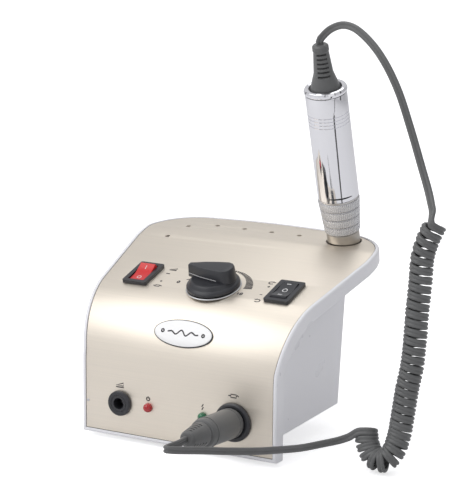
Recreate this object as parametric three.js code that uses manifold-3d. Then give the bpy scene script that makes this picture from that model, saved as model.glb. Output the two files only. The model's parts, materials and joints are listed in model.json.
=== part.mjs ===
// Desktop electric nail drill: console with a bent metal faceplate, plugged-in
// handpiece standing in its well, and a curly cord between them.
// Millimetres, +Z up, the console's front faces -Y, the table is z = 0.
import * as THREE from 'three';
import { mergeVertices } from 'three/addons/utils/BufferGeometryUtils.js';
import Module from 'manifold-3d';

const wasm = await Module();
wasm.setup();

const DEG = Math.PI / 180;

// Driving dimensions of the faceplate surface. s is the distance along it from its lower edge.
const PLATE_BOTTOM_Z = 5.5;
const FRONT_LEAN = 1.0 * DEG;
const FRONT_LENGTH = 40.5;
const BEND_RADIUS = 44.2;
const DESK_SLOPE = 15.4 * DEG;
const DESK_LENGTH = 64.6;
const CREASE_RADIUS = 30;
const REAR_SLOPE = 5.0 * DEG;
const BOTTOM_HALF = 61.5;
const REAR_HALF = 76.3;
const FLARE_START = 48;
const FLARE_RATE = 0.142;
const CORNER_START = 158.5;
const CORNER_RADIUS = 32;
const REAR_BOW = 2.8;

const PLATE_THICKNESS = 1.2;
const LIP = 2.6;
const BEZEL_DEPTH = 9;
const POCKET_DEPTH = 1.5;
const FLOOR_DEPTH = 4.0;
const GAP = 0.3;

// Console body behind the faceplate.
const HOUSING_BOTTOM_Z = 14.5;
const HOUSING_HALF_BOTTOM = 59.6;
const HOUSING_HALF_TOP = 62.3;
const HOUSING_REAR_BOTTOM = 91.5;
const HOUSING_REAR_TOP = 96.0;
const HOUSING_TOP_Z = 92.5;
const WALL = 2.5;
const RECESS_REAR = 90.5;

// Controls, as (x, s) on the faceplate.
const POWER_SWITCH = [-46.2, 105.2];
const DIRECTION_SWITCH = [47.4, 105.6];
const KNOB = [3.0, 102.0];
const FOOT_JACK = [-38.2, 17.8];
const LED_ON = [-19.3, 17.8];
const LED_POWER = [16.7, 17.8];
const OUTPUT = [36.7, 17.8];
const BADGE = [0.5, 64];
const ROCKER_THROW = 12 * DEG;
const KNOB_REST = 182 * DEG;
const BIT_HOLES = [[-57.5, 153.7], [-52.4, 170.7], [-35.8, 177.8], [-17.1, 178.0], [1.6, 178.0], [20.3, 178.0]];

// Handpiece and its well.
const WELL = [50.0, 178.2];
const HANDPIECE_TILT = 15.6 * DEG;
const WELL_RADIUS = 10.7;
const HANDPIECE_RELIEF = 99.4;
const HANDPIECE_RELIEF_LENGTH = 26.8;

const CORD_RADIUS = 2.0;
const COIL_RADIUS = 7.0;

// ---------- solids ----------

function signedVolume(position, index) {
  let volume = 0;
  const a = new THREE.Vector3();
  const b = new THREE.Vector3();
  const c = new THREE.Vector3();
  for (let i = 0; i < index.length; i += 3) {
    a.fromArray(position, index[i] * 3);
    b.fromArray(position, index[i + 1] * 3);
    c.fromArray(position, index[i + 2] * 3);
    volume += a.dot(b.cross(c)) / 6;
  }
  return volume;
}

function solid(source) {
  const bare = source.clone();
  bare.deleteAttribute('normal');
  bare.deleteAttribute('uv');
  const merged = mergeVertices(bare, 1e-4);
  const position = Float32Array.from(merged.attributes.position.array);
  const kept = [];
  const all = merged.index.array;
  for (let i = 0; i < all.length; i += 3) {
    const [a, b, c] = [all[i], all[i + 1], all[i + 2]];
    if (a !== b && b !== c && c !== a) kept.push(a, b, c);
  }
  if (signedVolume(position, kept) < 0) {
    for (let i = 0; i < kept.length; i += 3) {
      const swap = kept[i + 1];
      kept[i + 1] = kept[i + 2];
      kept[i + 2] = swap;
    }
  }
  const mesh = new wasm.Mesh({ numProp: 3, vertProperties: position, triVerts: Uint32Array.from(kept) });
  return new wasm.Manifold(mesh);
}

function surface(body) {
  const mesh = body.getMesh();
  const geometry = new THREE.BufferGeometry();
  geometry.setAttribute('position', new THREE.BufferAttribute(Float32Array.from(mesh.vertProperties), 3));
  geometry.setIndex(new THREE.BufferAttribute(Uint32Array.from(mesh.triVerts), 1));
  return geometry;
}

function placed(body, matrix) {
  const geometry = surface(body);
  geometry.applyMatrix4(matrix);
  return solid(geometry);
}

function join(...bodies) {
  return bodies.reduce((sum, body) => sum.add(body));
}

function cut(body, ...tools) {
  return tools.reduce((rest, tool) => rest.subtract(tool), body);
}

// Turned solid about local Z. profile is a list of [radius, z].
function turned(profile, segments = 24) {
  const points = profile.map(([r, z]) => new THREE.Vector2(r, z));
  const geometry = new THREE.LatheGeometry(points, segments);
  geometry.rotateX(Math.PI / 2);
  return solid(geometry);
}

function rod(radius, z0, z1, segments = 24) {
  return turned([[0, z0], [radius, z0], [radius, z1], [0, z1]], segments);
}

function ring(inner, outer, z0, z1, segments = 24) {
  return turned([[inner, z0], [outer, z0], [outer, z1], [inner, z1], [inner, z0]], segments);
}

function hexNut(inner, outer, z0, z1) {
  return cut(rod(outer, z0, z1, 6), rod(inner, z0 - 1, z1 + 1, 16));
}

function block(x0, x1, y0, y1, z0, z1) {
  const geometry = new THREE.BoxGeometry(x1 - x0, y1 - y0, z1 - z0);
  geometry.translate((x0 + x1) / 2, (y0 + y1) / 2, (z0 + z1) / 2);
  return solid(geometry);
}

function roundedRectangle(halfX, halfY, radius) {
  const shape = new THREE.Shape();
  shape.moveTo(halfX, -halfY + radius);
  shape.lineTo(halfX, halfY - radius);
  shape.absarc(halfX - radius, halfY - radius, radius, 0, Math.PI / 2);
  shape.lineTo(-halfX + radius, halfY);
  shape.absarc(-halfX + radius, halfY - radius, radius, Math.PI / 2, Math.PI);
  shape.lineTo(-halfX, -halfY + radius);
  shape.absarc(-halfX + radius, -halfY + radius, radius, Math.PI, Math.PI * 1.5);
  shape.lineTo(halfX - radius, -halfY);
  shape.absarc(halfX - radius, -halfY + radius, radius, Math.PI * 1.5, Math.PI * 2);
  return shape;
}

function roundedBlock(halfX, halfY, radius, z0, z1, curveSegments = 4) {
  const shape = roundedRectangle(halfX, halfY, radius);
  const geometry = new THREE.ExtrudeGeometry(shape, { depth: z1 - z0, bevelEnabled: false, curveSegments });
  geometry.translate(0, 0, z0);
  return solid(geometry);
}

// A prism whose outline lies in the local Y-Z plane, centred on x = 0.
function sidePrism(outline, halfWidth) {
  const shape = new THREE.Shape(outline.map(([y, z]) => new THREE.Vector2(y, z)));
  const geometry = new THREE.ExtrudeGeometry(shape, { depth: 2 * halfWidth, bevelEnabled: false });
  geometry.translate(0, 0, -halfWidth);
  const axes = new THREE.Matrix4().makeBasis(
    new THREE.Vector3(0, 1, 0), new THREE.Vector3(0, 0, 1), new THREE.Vector3(1, 0, 0));
  geometry.applyMatrix4(axes);
  return solid(geometry);
}

function tubeAlong(points, radius, steps, sides) {
  const path = new THREE.CatmullRomCurve3(points.map((p) => new THREE.Vector3(...p)), false, 'centripetal');
  const outline = new THREE.Shape();
  for (let i = 0; i < sides; i += 1) {
    const angle = (i / sides) * 2 * Math.PI;
    const x = radius * Math.cos(angle);
    const y = radius * Math.sin(angle);
    if (i === 0) outline.moveTo(x, y);
    else outline.lineTo(x, y);
  }
  outline.closePath();
  return solid(new THREE.ExtrudeGeometry(outline, { steps, extrudePath: path, bevelEnabled: false }));
}

// ---------- the faceplate surface ----------

const BEND_ANGLE = Math.PI / 2 - FRONT_LEAN - DESK_SLOPE;
const BEND_LENGTH = BEND_RADIUS * BEND_ANGLE;
const CREASE_ANGLE = DESK_SLOPE - REAR_SLOPE;
const CREASE_LENGTH = CREASE_RADIUS * CREASE_ANGLE;
const S_BEND = FRONT_LENGTH;
const S_DESK = S_BEND + BEND_LENGTH;
const S_CREASE = S_DESK + DESK_LENGTH;
const S_REAR = S_CREASE + CREASE_LENGTH;
const S_CORNER_END = CORNER_START + CORNER_RADIUS;

function step(from, angle, length) {
  return [from[0] + length * Math.cos(angle), from[1] + length * Math.sin(angle)];
}

function arcEnd(from, startAngle, turn, radius) {
  const centre = [from[0] + radius * Math.sin(startAngle), from[1] - radius * Math.cos(startAngle)];
  const angle = startAngle - turn;
  return [centre[0] - radius * Math.sin(angle), centre[1] + radius * Math.cos(angle)];
}

// Point (y, z) and tangent angle above +Y at distance s along the surface.
function surfacePoint(s) {
  const front = Math.PI / 2 - FRONT_LEAN;
  const start = [0, PLATE_BOTTOM_Z];
  if (s <= S_BEND) return [...step(start, front, s), front];
  const bend = step(start, front, FRONT_LENGTH);
  if (s <= S_DESK) {
    const turn = (s - S_BEND) / BEND_RADIUS;
    return [...arcEnd(bend, front, turn, BEND_RADIUS), front - turn];
  }
  const desk = arcEnd(bend, front, BEND_ANGLE, BEND_RADIUS);
  if (s <= S_CREASE) return [...step(desk, DESK_SLOPE, s - S_DESK), DESK_SLOPE];
  const crease = step(desk, DESK_SLOPE, DESK_LENGTH);
  if (s <= S_REAR) {
    const turn = (s - S_CREASE) / CREASE_RADIUS;
    return [...arcEnd(crease, DESK_SLOPE, turn, CREASE_RADIUS), DESK_SLOPE - turn];
  }
  const rear = arcEnd(crease, DESK_SLOPE, CREASE_ANGLE, CREASE_RADIUS);
  return [...step(rear, REAR_SLOPE, s - S_REAR), REAR_SLOPE];
}

function halfWidth(s, grow) {
  const flared = BOTTOM_HALF + FLARE_RATE * Math.max(0, s - FLARE_START);
  const side = Math.min(flared, REAR_HALF);
  if (s <= CORNER_START) return side + grow;
  const cornerCentre = REAR_HALF - CORNER_RADIUS;
  const radius = CORNER_RADIUS + grow;
  if (s < CORNER_START + radius) {
    return cornerCentre + Math.sqrt(radius * radius - (s - CORNER_START) ** 2);
  }
  const along = (s - CORNER_START - radius) / REAR_BOW;
  return cornerCentre * Math.sqrt(Math.max(0, 1 - along));
}

function stations(grow) {
  const list = [-grow, 14, 28];
  for (let i = 0; i <= 9; i += 1) list.push(S_BEND + (BEND_LENGTH * i) / 9);
  list.push(S_DESK + 20, S_DESK + 40);
  for (let i = 0; i <= 2; i += 1) list.push(S_CREASE + (CREASE_LENGTH * i) / 2);
  for (let i = 0; i <= 7; i += 1) {
    list.push(CORNER_START + (CORNER_RADIUS + grow) * Math.sin((i / 7) * Math.PI / 2));
  }
  for (const u of [0.5, 0.85, 0.985]) list.push(S_CORNER_END + grow + REAR_BOW * u);
  return list.sort((a, b) => a - b);
}

function offsetPoint(x, s, depth) {
  const [y, z, angle] = surfacePoint(s);
  return [x, y - Math.sin(angle) * depth, z + Math.cos(angle) * depth];
}

// A sheet that follows the surface. Each ring is [stations and half-widths, depth], outer face first.
function sheet(rings) {
  const count = rings[0][0].length;
  const vertices = [];
  for (const [outline, depth] of rings) {
    for (const [w, s] of outline) vertices.push(...offsetPoint(w, s, depth));
    for (const [w, s, left = -w] of outline) vertices.push(...offsetPoint(left, s, depth));
  }
  const loop = [];
  for (let k = 0; k < count; k += 1) loop.push(k);
  for (let k = count - 1; k >= 0; k -= 1) loop.push(count + k);
  const index = [];
  const cap = (base, flip) => {
    for (let k = 0; k < count - 1; k += 1) {
      const [a, b] = [base + k, base + k + 1];
      const [c, d] = [base + count + k + 1, base + count + k];
      if (flip) index.push(a, c, b, a, d, c);
      else index.push(a, b, c, a, c, d);
    }
  };
  cap(0, false);
  for (let r = 0; r < rings.length - 1; r += 1) {
    const [near, far] = [r * 2 * count, (r + 1) * 2 * count];
    loop.forEach((a, k) => {
      const b = loop[(k + 1) % loop.length];
      index.push(near + a, far + a, far + b, near + a, far + b, near + b);
    });
  }
  cap((rings.length - 1) * 2 * count, true);
  const geometry = new THREE.BufferGeometry();
  geometry.setAttribute('position', new THREE.Float32BufferAttribute(vertices, 3));
  geometry.setIndex(index);
  return solid(geometry);
}

// Sheet in the faceplate's own outline, each ring given as [grow, depth].
function plate(rings) {
  return sheet(rings.map(([grow, depth]) => [stations(grow).map((s) => [halfWidth(s, grow), s]), depth]));
}

// Oval sheet centred on (x, s).
function oval(x, s, halfX, halfS, rings) {
  return sheet(rings.map(([grow, depth]) => {
    const outline = [];
    for (let i = 0; i <= 12; i += 1) {
      const angle = -Math.PI / 2 + 0.05 + ((Math.PI - 0.1) * i) / 12;
      const w = (halfX + grow) * Math.cos(angle);
      outline.push([x + w, s + (halfS + grow) * Math.sin(angle), x - w]);
    }
    return [outline, depth];
  }));
}

// Frame standing on the surface: local X is the console's X, local Y runs up the surface, local Z points out.
function onPlate([x, s], depth = 0) {
  const [, y, z] = offsetPoint(x, s, depth);
  const angle = surfacePoint(s)[2];
  const matrix = new THREE.Matrix4().makeBasis(
    new THREE.Vector3(1, 0, 0),
    new THREE.Vector3(0, Math.cos(angle), Math.sin(angle)),
    new THREE.Vector3(0, -Math.sin(angle), Math.cos(angle)));
  return matrix.setPosition(x, y, z);
}

function turnedFrame(matrix, angle) {
  return matrix.clone().multiply(new THREE.Matrix4().makeRotationZ(angle));
}

const REAR_LEAN = Math.atan2(HOUSING_REAR_TOP - HOUSING_REAR_BOTTOM, HOUSING_TOP_Z - HOUSING_BOTTOM_Z);

// Frame on the rear wall: local Y up the wall, local Z out of it.
function onRearWall(x, z) {
  const y = HOUSING_REAR_BOTTOM + (z - HOUSING_BOTTOM_Z) * Math.tan(REAR_LEAN);
  const matrix = new THREE.Matrix4().makeBasis(
    new THREE.Vector3(-1, 0, 0),
    new THREE.Vector3(0, Math.sin(REAR_LEAN), Math.cos(REAR_LEAN)),
    new THREE.Vector3(0, Math.cos(REAR_LEAN), -Math.sin(REAR_LEAN)));
  return matrix.setPosition(x, y, z);
}

// Frame along the handpiece: local Z runs up its axis from the rear strip's surface.
const HANDPIECE = new THREE.Matrix4().makeRotationX(HANDPIECE_TILT)
  .setPosition(...offsetPoint(WELL[0], WELL[1], 0));

// ---------- scene ----------

const nailDrill = new THREE.Group();

const WHITE_GLOSS = { color: 0xe9e9ec, roughness: 0.3, metalness: 0 };
const CHAMPAGNE = { color: 0xcbbfa9, roughness: 0.38, metalness: 1 };
const BLACK_GLOSS = { color: 0x15161a, roughness: 0.3, metalness: 0 };
const BLACK_MATTE = { color: 0x1d1e20, roughness: 0.6, metalness: 0 };
const RED = { color: 0xc41a1c, roughness: 0.35, metalness: 0 };
const GREEN = { color: 0x12703a, roughness: 0.25, metalness: 0 };
const GREY_RUBBER = { color: 0x5e5e5b, roughness: 0.65, metalness: 0 };
const CHROME = { color: 0xd9dadc, roughness: 0.12, metalness: 1 };
const STEEL = { color: 0xb5b6b8, roughness: 0.35, metalness: 1 };
const COPPER = { color: 0xb06a3a, roughness: 0.4, metalness: 1 };
const BOARD = { color: 0x1f6b3c, roughness: 0.5, metalness: 0 };

function piece(name, body, look, matrix = null) {
  const geometry = surface(body);
  if (matrix) geometry.applyMatrix4(matrix);
  const mesh = new THREE.Mesh(geometry, new THREE.MeshStandardMaterial(look));
  mesh.name = name;
  nailDrill.add(mesh);
  return mesh;
}

// Tools that pass through both the faceplate and the bezel floor.
const SWITCH_CUT = [6.8, 10.2];

function throughTools(clearance) {
  const tools = [];
  for (const spot of [POWER_SWITCH, DIRECTION_SWITCH]) {
    const half = SWITCH_CUT.map((v) => v + clearance);
    tools.push(placed(block(-half[0], half[0], -half[1], half[1], -9, 3), onPlate(spot)));
  }
  tools.push(placed(rod(3.9 + clearance, -9, 3, 16), onPlate(KNOB)));
  tools.push(placed(rod(4.9 + clearance, -9, 3, 20), onPlate(FOOT_JACK)));
  tools.push(placed(rod(2.75 + clearance, -9, 3, 16), onPlate(LED_ON)));
  tools.push(placed(rod(2.75 + clearance, -9, 3, 16), onPlate(LED_POWER)));
  tools.push(placed(rod(9.1 + clearance, -9, 3), onPlate(OUTPUT)));
  for (const spot of BIT_HOLES) tools.push(placed(rod(1.35, -9.5, 3, 10), onPlate(spot)));
  return tools;
}

function addFrontBezel() {
  const outer = plate([[LIP - 1.6, 0.4], [LIP - 0.6, 0.1], [LIP, -1.2], [LIP, -BEZEL_DEPTH + 1], [LIP - 1, -BEZEL_DEPTH]]);
  const pocket = plate([[GAP, 3], [GAP, -POCKET_DEPTH]]);
  const recess = plate([[-0.2, -FLOOR_DEPTH], [-0.2, -16]]);
  const reach = block(-120, 120, -30, RECESS_REAR, -30, 160);
  const well = placed(rod(WELL_RADIUS + 1.2, -25, 12), HANDPIECE);
  const rear = plate([[-3, -FLOOR_DEPTH], [-3, -BEZEL_DEPTH - 4]]).intersect(block(-120, 120, 99, 200, 0, 160));
  const body = cut(outer, pocket, recess.intersect(reach), rear, well, ...throughTools(0.2));
  piece('front_bezel', body, WHITE_GLOSS);
}

function addFaceplate() {
  const well = placed(rod(WELL_RADIUS, -25, 12, 28), HANDPIECE);
  const body = cut(plate([[0, 0], [0, -PLATE_THICKNESS]]), well, ...throughTools(0));
  piece('faceplate', body, CHAMPAGNE);
}

function addBadge() {
  piece('badge', oval(BADGE[0], BADGE[1], 19.2, 8.2, [[-0.4, 0.9], [0, 0.5], [0, 0.1]]), WHITE_GLOSS);
}

function addRearCover() {
  const limits = block(-120, 120, 99.4, 200, 0, 160);
  const well = placed(rod(WELL_RADIUS + 1.2, -30, 12), HANDPIECE);
  const body = cut(plate([[-3.3, -BEZEL_DEPTH + 1.6], [-3.3, -BEZEL_DEPTH]]).intersect(limits), well);
  piece('rear_cover', body, WHITE_GLOSS);
}

function addBitBlock() {
  const limits = block(-62, 27, 103.2, 118.2, 0, 160);
  const holes = BIT_HOLES.map((spot) => placed(rod(1.35, -8.8, 3, 10), onPlate(spot)));
  const body = cut(plate([[-4, -FLOOR_DEPTH - GAP], [-4, -BEZEL_DEPTH + 1.9]]).intersect(limits), ...holes);
  piece('bit_block', body, BLACK_MATTE);
}

// Rocker switch: black frame with a hollow body, and a rocker pivoting inside it.
const ROCKER_PIVOT = -1.5;
const ROCKER_REACH = 8.8;

function rockerFrame() {
  const flange = roundedBlock(7.9, 11.8, 0.8, 0.1, 2.0, 3);
  const body = block(-6.5, 6.5, -9.9, 9.9, -15, 1);
  const cavity = block(-5.3, 5.3, -9.15, 9.15, -9, 5);
  const pin = placed(rod(1.1, -7, 7, 12), new THREE.Matrix4().makeRotationY(Math.PI / 2)
    .setPosition(0, 0, ROCKER_PIVOT));
  const blades = [-6, 0, 6].map((y) => block(-2.4, 2.4, y - 0.4, y + 0.4, -21, -14.5));
  return join(cut(join(flange, body), cavity, pin), ...blades);
}

function rockerBody(rest) {
  const outline = [];
  for (let i = 0; i <= 3; i += 1) {
    const angle = (-12 + (42 * i) / 3) * DEG;
    outline.push([ROCKER_REACH * Math.cos(angle), ROCKER_REACH * Math.sin(angle)]);
  }
  outline.push([3.4, 3.55], [0, 3.1], [-3.4, 3.55]);
  for (let i = 3; i >= 0; i -= 1) {
    const angle = (-12 + (42 * i) / 3) * DEG;
    outline.push([-ROCKER_REACH * Math.cos(angle), ROCKER_REACH * Math.sin(angle)]);
  }
  outline.push([-4, -4.6], [4, -4.6]);
  const pin = placed(rod(1.0, -6.3, 6.3, 12), new THREE.Matrix4().makeRotationY(Math.PI / 2));
  const body = join(sidePrism(outline, 5.0), pin);
  return placed(body, new THREE.Matrix4().makeRotationX(rest).setPosition(0, 0, ROCKER_PIVOT));
}

function addSwitches() {
  piece('power_switch_frame', rockerFrame(), BLACK_GLOSS, onPlate(POWER_SWITCH));
  piece('power_rocker', rockerBody(ROCKER_THROW), RED, onPlate(POWER_SWITCH));
  piece('direction_switch_frame', rockerFrame(), BLACK_GLOSS, onPlate(DIRECTION_SWITCH));
  piece('direction_rocker', rockerBody(0), BLACK_GLOSS, onPlate(DIRECTION_SWITCH));
}

// Pointer knob: round skirt with a wedge-shaped grip whose narrow end points at the scale.
function addKnob() {
  const frame = turnedFrame(onPlate(KNOB), KNOB_REST);
  const skirt = turned([[0, 1.3], [15.4, 1.3], [15.8, 1.9], [15.5, 3.4], [13.7, 5.4], [12.6, 6.6], [0, 6.6]], 28);
  const side = [[15.2, 1.2], [6, 3.9], [-6, 6.1], [-10, 6.6], [-13, 5.6], [-14.7, 3.2], [-15.1, 0]];
  const back = side.slice(0, -1).reverse().map(([x, y]) => [x, -y]);
  const grip = new THREE.Shape([...side, ...back].map(([x, y]) => new THREE.Vector2(x, y)));
  const gripBody = new THREE.ExtrudeGeometry(grip, {
    depth: 7.6, bevelEnabled: true, bevelThickness: 0.7, bevelSize: 0.7, bevelOffset: -0.7, bevelSegments: 2,
  });
  gripBody.translate(0, 0, 6.2);
  const hub = cut(join(skirt, solid(gripBody)), rod(3.1, -1, 10, 16), rod(8.0, -1, 4.6, 20));
  piece('speed_knob', hub, BLACK_GLOSS, frame);
  piece('knob_ring', ring(13.2, 17.0, 0.1, 1.0, 28), STEEL, onPlate(KNOB));
  piece('speed_pot_nut', hexNut(3.85, 6.0, 0.2, 2.6), STEEL, onPlate(KNOB));
  const bushing = cut(join(rod(3.6, -5, 4.2, 16), rod(8.2, -14, -FLOOR_DEPTH - GAP, 16)), rod(3.05, -12, 6, 16));
  piece('speed_pot_body', bushing, STEEL, onPlate(KNOB));
  piece('speed_pot_shaft', rod(2.95, -11.6, 9.7, 16), STEEL, onPlate(KNOB));
}

function addFootJack() {
  const bore = rod(3.4, -17, 6, 16);
  const barrel = cut(join(rod(4.7, -6, 3.4, 20), roundedBlock(6.2, 6.2, 1, -20, -FLOOR_DEPTH - GAP, 2)), bore);
  piece('foot_jack', barrel, BLACK_GLOSS, onPlate(FOOT_JACK));
  piece('foot_jack_nut', ring(4.95, 7.5, 0.1, 2.4, 24), BLACK_GLOSS, onPlate(FOOT_JACK));
}

function led() {
  const dome = [[0, -6.5], [2.9, -6.5], [2.9, -FLOOR_DEPTH - GAP - 0.1], [2.5, -FLOOR_DEPTH - GAP], [2.5, 0.6]];
  for (let i = 1; i <= 3; i += 1) {
    const angle = (i / 3) * Math.PI / 2;
    dome.push([2.5 * Math.cos(angle), 0.6 + 2.5 * Math.sin(angle)]);
  }
  dome[dome.length - 1][0] = 0;
  return turned(dome, 16);
}

function addLamps() {
  piece('led_on', led(), RED, onPlate(LED_ON));
  piece('led_power', led(), GREEN, onPlate(LED_POWER));
}

function addOutputSocket() {
  const outside = [[0, -17], [8.8, -17], [8.8, 0.1], [11.2, 0.1], [11.4, 0.8], [11.0, 2.0], [10.2, 2.6], [0, 2.6]];
  const body = cut(turned(outside, 28), rod(7.4, -9, 5, 24), rod(3.6, -15, 5, 20));
  piece('output_socket', body, BLACK_GLOSS, onPlate(OUTPUT));
  piece('output_socket_nut', hexNut(9.1, 12.4, -FLOOR_DEPTH - GAP - 3, -FLOOR_DEPTH - GAP), STEEL, onPlate(OUTPUT));
}

// Plug standing in the output socket, tipped up a little by its stiff cord.
const PLUG_TILT = 4 * DEG;
const PLUG_BASE = 2.9;
const PLUG_RELIEF = PLUG_BASE + 34.1;
const PLUG_RELIEF_LENGTH = 16.3;
const PLUG = onPlate(OUTPUT, 0).multiply(new THREE.Matrix4().makeRotationX(-PLUG_TILT));

function plugPoint(length) {
  return new THREE.Vector3(0, 0, length).applyMatrix4(PLUG);
}

function addPlug() {
  const b = PLUG_BASE + 0.8;
  const shell = turned([[0, b], [8.4, b], [8.7, b + 0.8], [8.5, b + 30], [7.9, b + 32.6], [0, b + 33]], 24);
  piece('plug_shell', shell, GREY_RUBBER, PLUG);
  piece('plug_pin', turned([[0, -6], [1.2, -6], [2.9, -4.4], [2.9, b - 0.3], [0, b - 0.3]], 24), CHROME, PLUG);
  const r0 = PLUG_RELIEF;
  const top = r0 + PLUG_RELIEF_LENGTH;
  const relief = turned([[0, r0], [6.9, r0], [6.8, r0 + 2.5], [4.8, top - 1.6], [3.6, top], [0, top]], 20);
  const slots = [];
  for (let i = 0; i < 5; i += 1) {
    const z = r0 + 3.2 + 2.4 * i;
    for (const side of [-1, 1]) {
      const inner = 3.1 - 0.2 * i;
      slots.push(block(-5 + 0.3 * i, 5 - 0.3 * i, side > 0 ? inner : -9, side > 0 ? 9 : -inner, z, z + 1.1));
    }
  }
  piece('plug_strain_relief', cut(relief, ...slots), GREY_RUBBER, turnedFrame(PLUG, 20 * DEG));
}

function addWell() {
  const outer = WELL_RADIUS + 1;
  const cup = [[0, -21.8], [9.2, -21.8], [10.8, -20.9], [outer, -19], [outer, 3], [WELL_RADIUS, 3], [WELL_RADIUS, -20.4],
    [0, -20.4]];
  const above = plate([[20, 30], [20, -POCKET_DEPTH]]);
  piece('handpiece_well', placed(turned(cup, 28), HANDPIECE).subtract(above), WHITE_GLOSS);
}

// ---------- handpiece ----------

function knurledGrip() {
  const profile = [[7.4, 7.9], [9.9, 7.9]];
  const start = 8.2;
  const pitch = 5.35;
  for (let i = 0; i < 4; i += 1) {
    const base = 10.1 + 0.5 * i;
    const z = start + pitch * i;
    profile.push([base, z], [base + 0.6, z + 0.5], [base + 0.75, z + 4.2], [base + 0.25, z + 4.8]);
  }
  profile.push([12.0, 30.1], [7.4, 30.1], [7.4, 7.9]);
  return turned(profile, 24);
}

function addHandpiece() {
  const nose = [[6.3, -17], [7.4, -19.2], [8.4, -19.9], [9.2, -18.4], [9.8, -12], [9.8, 7.6], [7.1, 7.6], [7.1, 10],
    [6.3, 10], [6.3, -17]];
  piece('handpiece_nose', turned(nose, 24), STEEL, HANDPIECE);
  piece('handpiece_twist_grip', knurledGrip(), STEEL, HANDPIECE);
  const tube = [[11.0, 30.4], [12.2, 30.4]];
  for (let i = 0; i < 4; i += 1) {
    const z = 78.6 + 2.05 * i;
    tube.push([12.2, z - 0.5], [11.8, z], [12.2, z + 0.5]);
  }
  tube.push([12.2, 96.4], [11.0, 96.4], [11.0, 30.4]);
  piece('handpiece_tube', turned(tube, 24), CHROME, HANDPIECE);
  const cap = [[0, 96.7], [12.2, 96.7], [12.7, 97.4], [12.7, 99.0], [11.9, 100.1], [10.6, 100.3], [9.7, 99.9],
    [9.7, 99.1], [0, 99.1]];
  piece('handpiece_end_cap', turned(cap, 28), CHROME, HANDPIECE);
  piece('handpiece_motor_can', ring(9.4, 10.7, 36, 78, 20), STEEL, HANDPIECE);
  piece('handpiece_rotor', ring(2.2, 8.9, 40, 72, 16), COPPER, HANDPIECE);
  piece('handpiece_spindle', join(rod(1.95, -18, 80, 12), rod(3.6, -15.5, -12, 12)), STEEL, HANDPIECE);
  piece('handpiece_bearing_front', ring(2.1, 6.1, -9, -4, 16), STEEL, HANDPIECE);
  piece('handpiece_bearing_rear', ring(2.1, 7.2, 30.6, 35.4, 16), STEEL, HANDPIECE);
  const r0 = HANDPIECE_RELIEF;
  const top = r0 + HANDPIECE_RELIEF_LENGTH;
  const sleeve = [[0, r0], [8.6, r0], [8.4, r0 + 1.8], [5.7, r0 + 9.8], [4.5, top - 4], [4.6, top - 0.8],
    [3.6, top], [0, top]];
  const relief = turned(sleeve, 20);
  const slots = [];
  for (let i = 0; i < 6; i += 1) {
    const z = r0 + 7.8 + 2.6 * i;
    const outer = 6.2 - 0.27 * i;
    const inner = outer * 0.6;
    for (let side = 0; side < 2; side += 1) {
      const half = outer * 0.62;
      const tool = block(-half, half, inner, 12, z, z + 1.2);
      slots.push(placed(tool, new THREE.Matrix4().makeRotationZ(side * Math.PI)));
    }
  }
  piece('handpiece_strain_relief', cut(relief, ...slots), GREY_RUBBER, turnedFrame(HANDPIECE, 29 * DEG));
}

// ---------- console body ----------

function taperedBox(inset, z0, z1, front) {
  const at = (z) => {
    const t = (z - HOUSING_BOTTOM_Z) / (HOUSING_TOP_Z - HOUSING_BOTTOM_Z);
    return [
      HOUSING_HALF_BOTTOM + (HOUSING_HALF_TOP - HOUSING_HALF_BOTTOM) * t - inset,
      HOUSING_REAR_BOTTOM + (HOUSING_REAR_TOP - HOUSING_REAR_BOTTOM) * t - inset,
    ];
  };
  const radius = 6 - inset;
  const vertices = [];
  const count = 2 + 2 * 6;
  for (const z of [z0, z1]) {
    const [halfX, rear] = at(z);
    vertices.push(halfX, front, z);
    for (let i = 0; i <= 5; i += 1) {
      const a = (i / 5) * Math.PI / 2;
      vertices.push(halfX - radius + radius * Math.cos(a), rear - radius + radius * Math.sin(a), z);
    }
    for (let i = 0; i <= 5; i += 1) {
      const a = Math.PI / 2 + (i / 5) * Math.PI / 2;
      vertices.push(-halfX + radius + radius * Math.cos(a), rear - radius + radius * Math.sin(a), z);
    }
    vertices.push(-halfX, front, z);
  }
  const index = [];
  for (let k = 0; k < count; k += 1) {
    const next = (k + 1) % count;
    index.push(k, next, count + next, k, count + next, count + k);
  }
  for (let k = 1; k < count - 1; k += 1) {
    index.push(0, k + 1, k);
    index.push(count, count + k, count + k + 1);
  }
  const geometry = new THREE.BufferGeometry();
  geometry.setAttribute('position', new THREE.Float32BufferAttribute(vertices, 3));
  geometry.setIndex(index);
  return solid(geometry);
}

const INLET = [30, 38];
const FUSE = [-34, 38];
const SCREWS = [[-53.6, 22], [53.6, 22], [-53.6, 80], [53.6, 80]];

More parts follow.
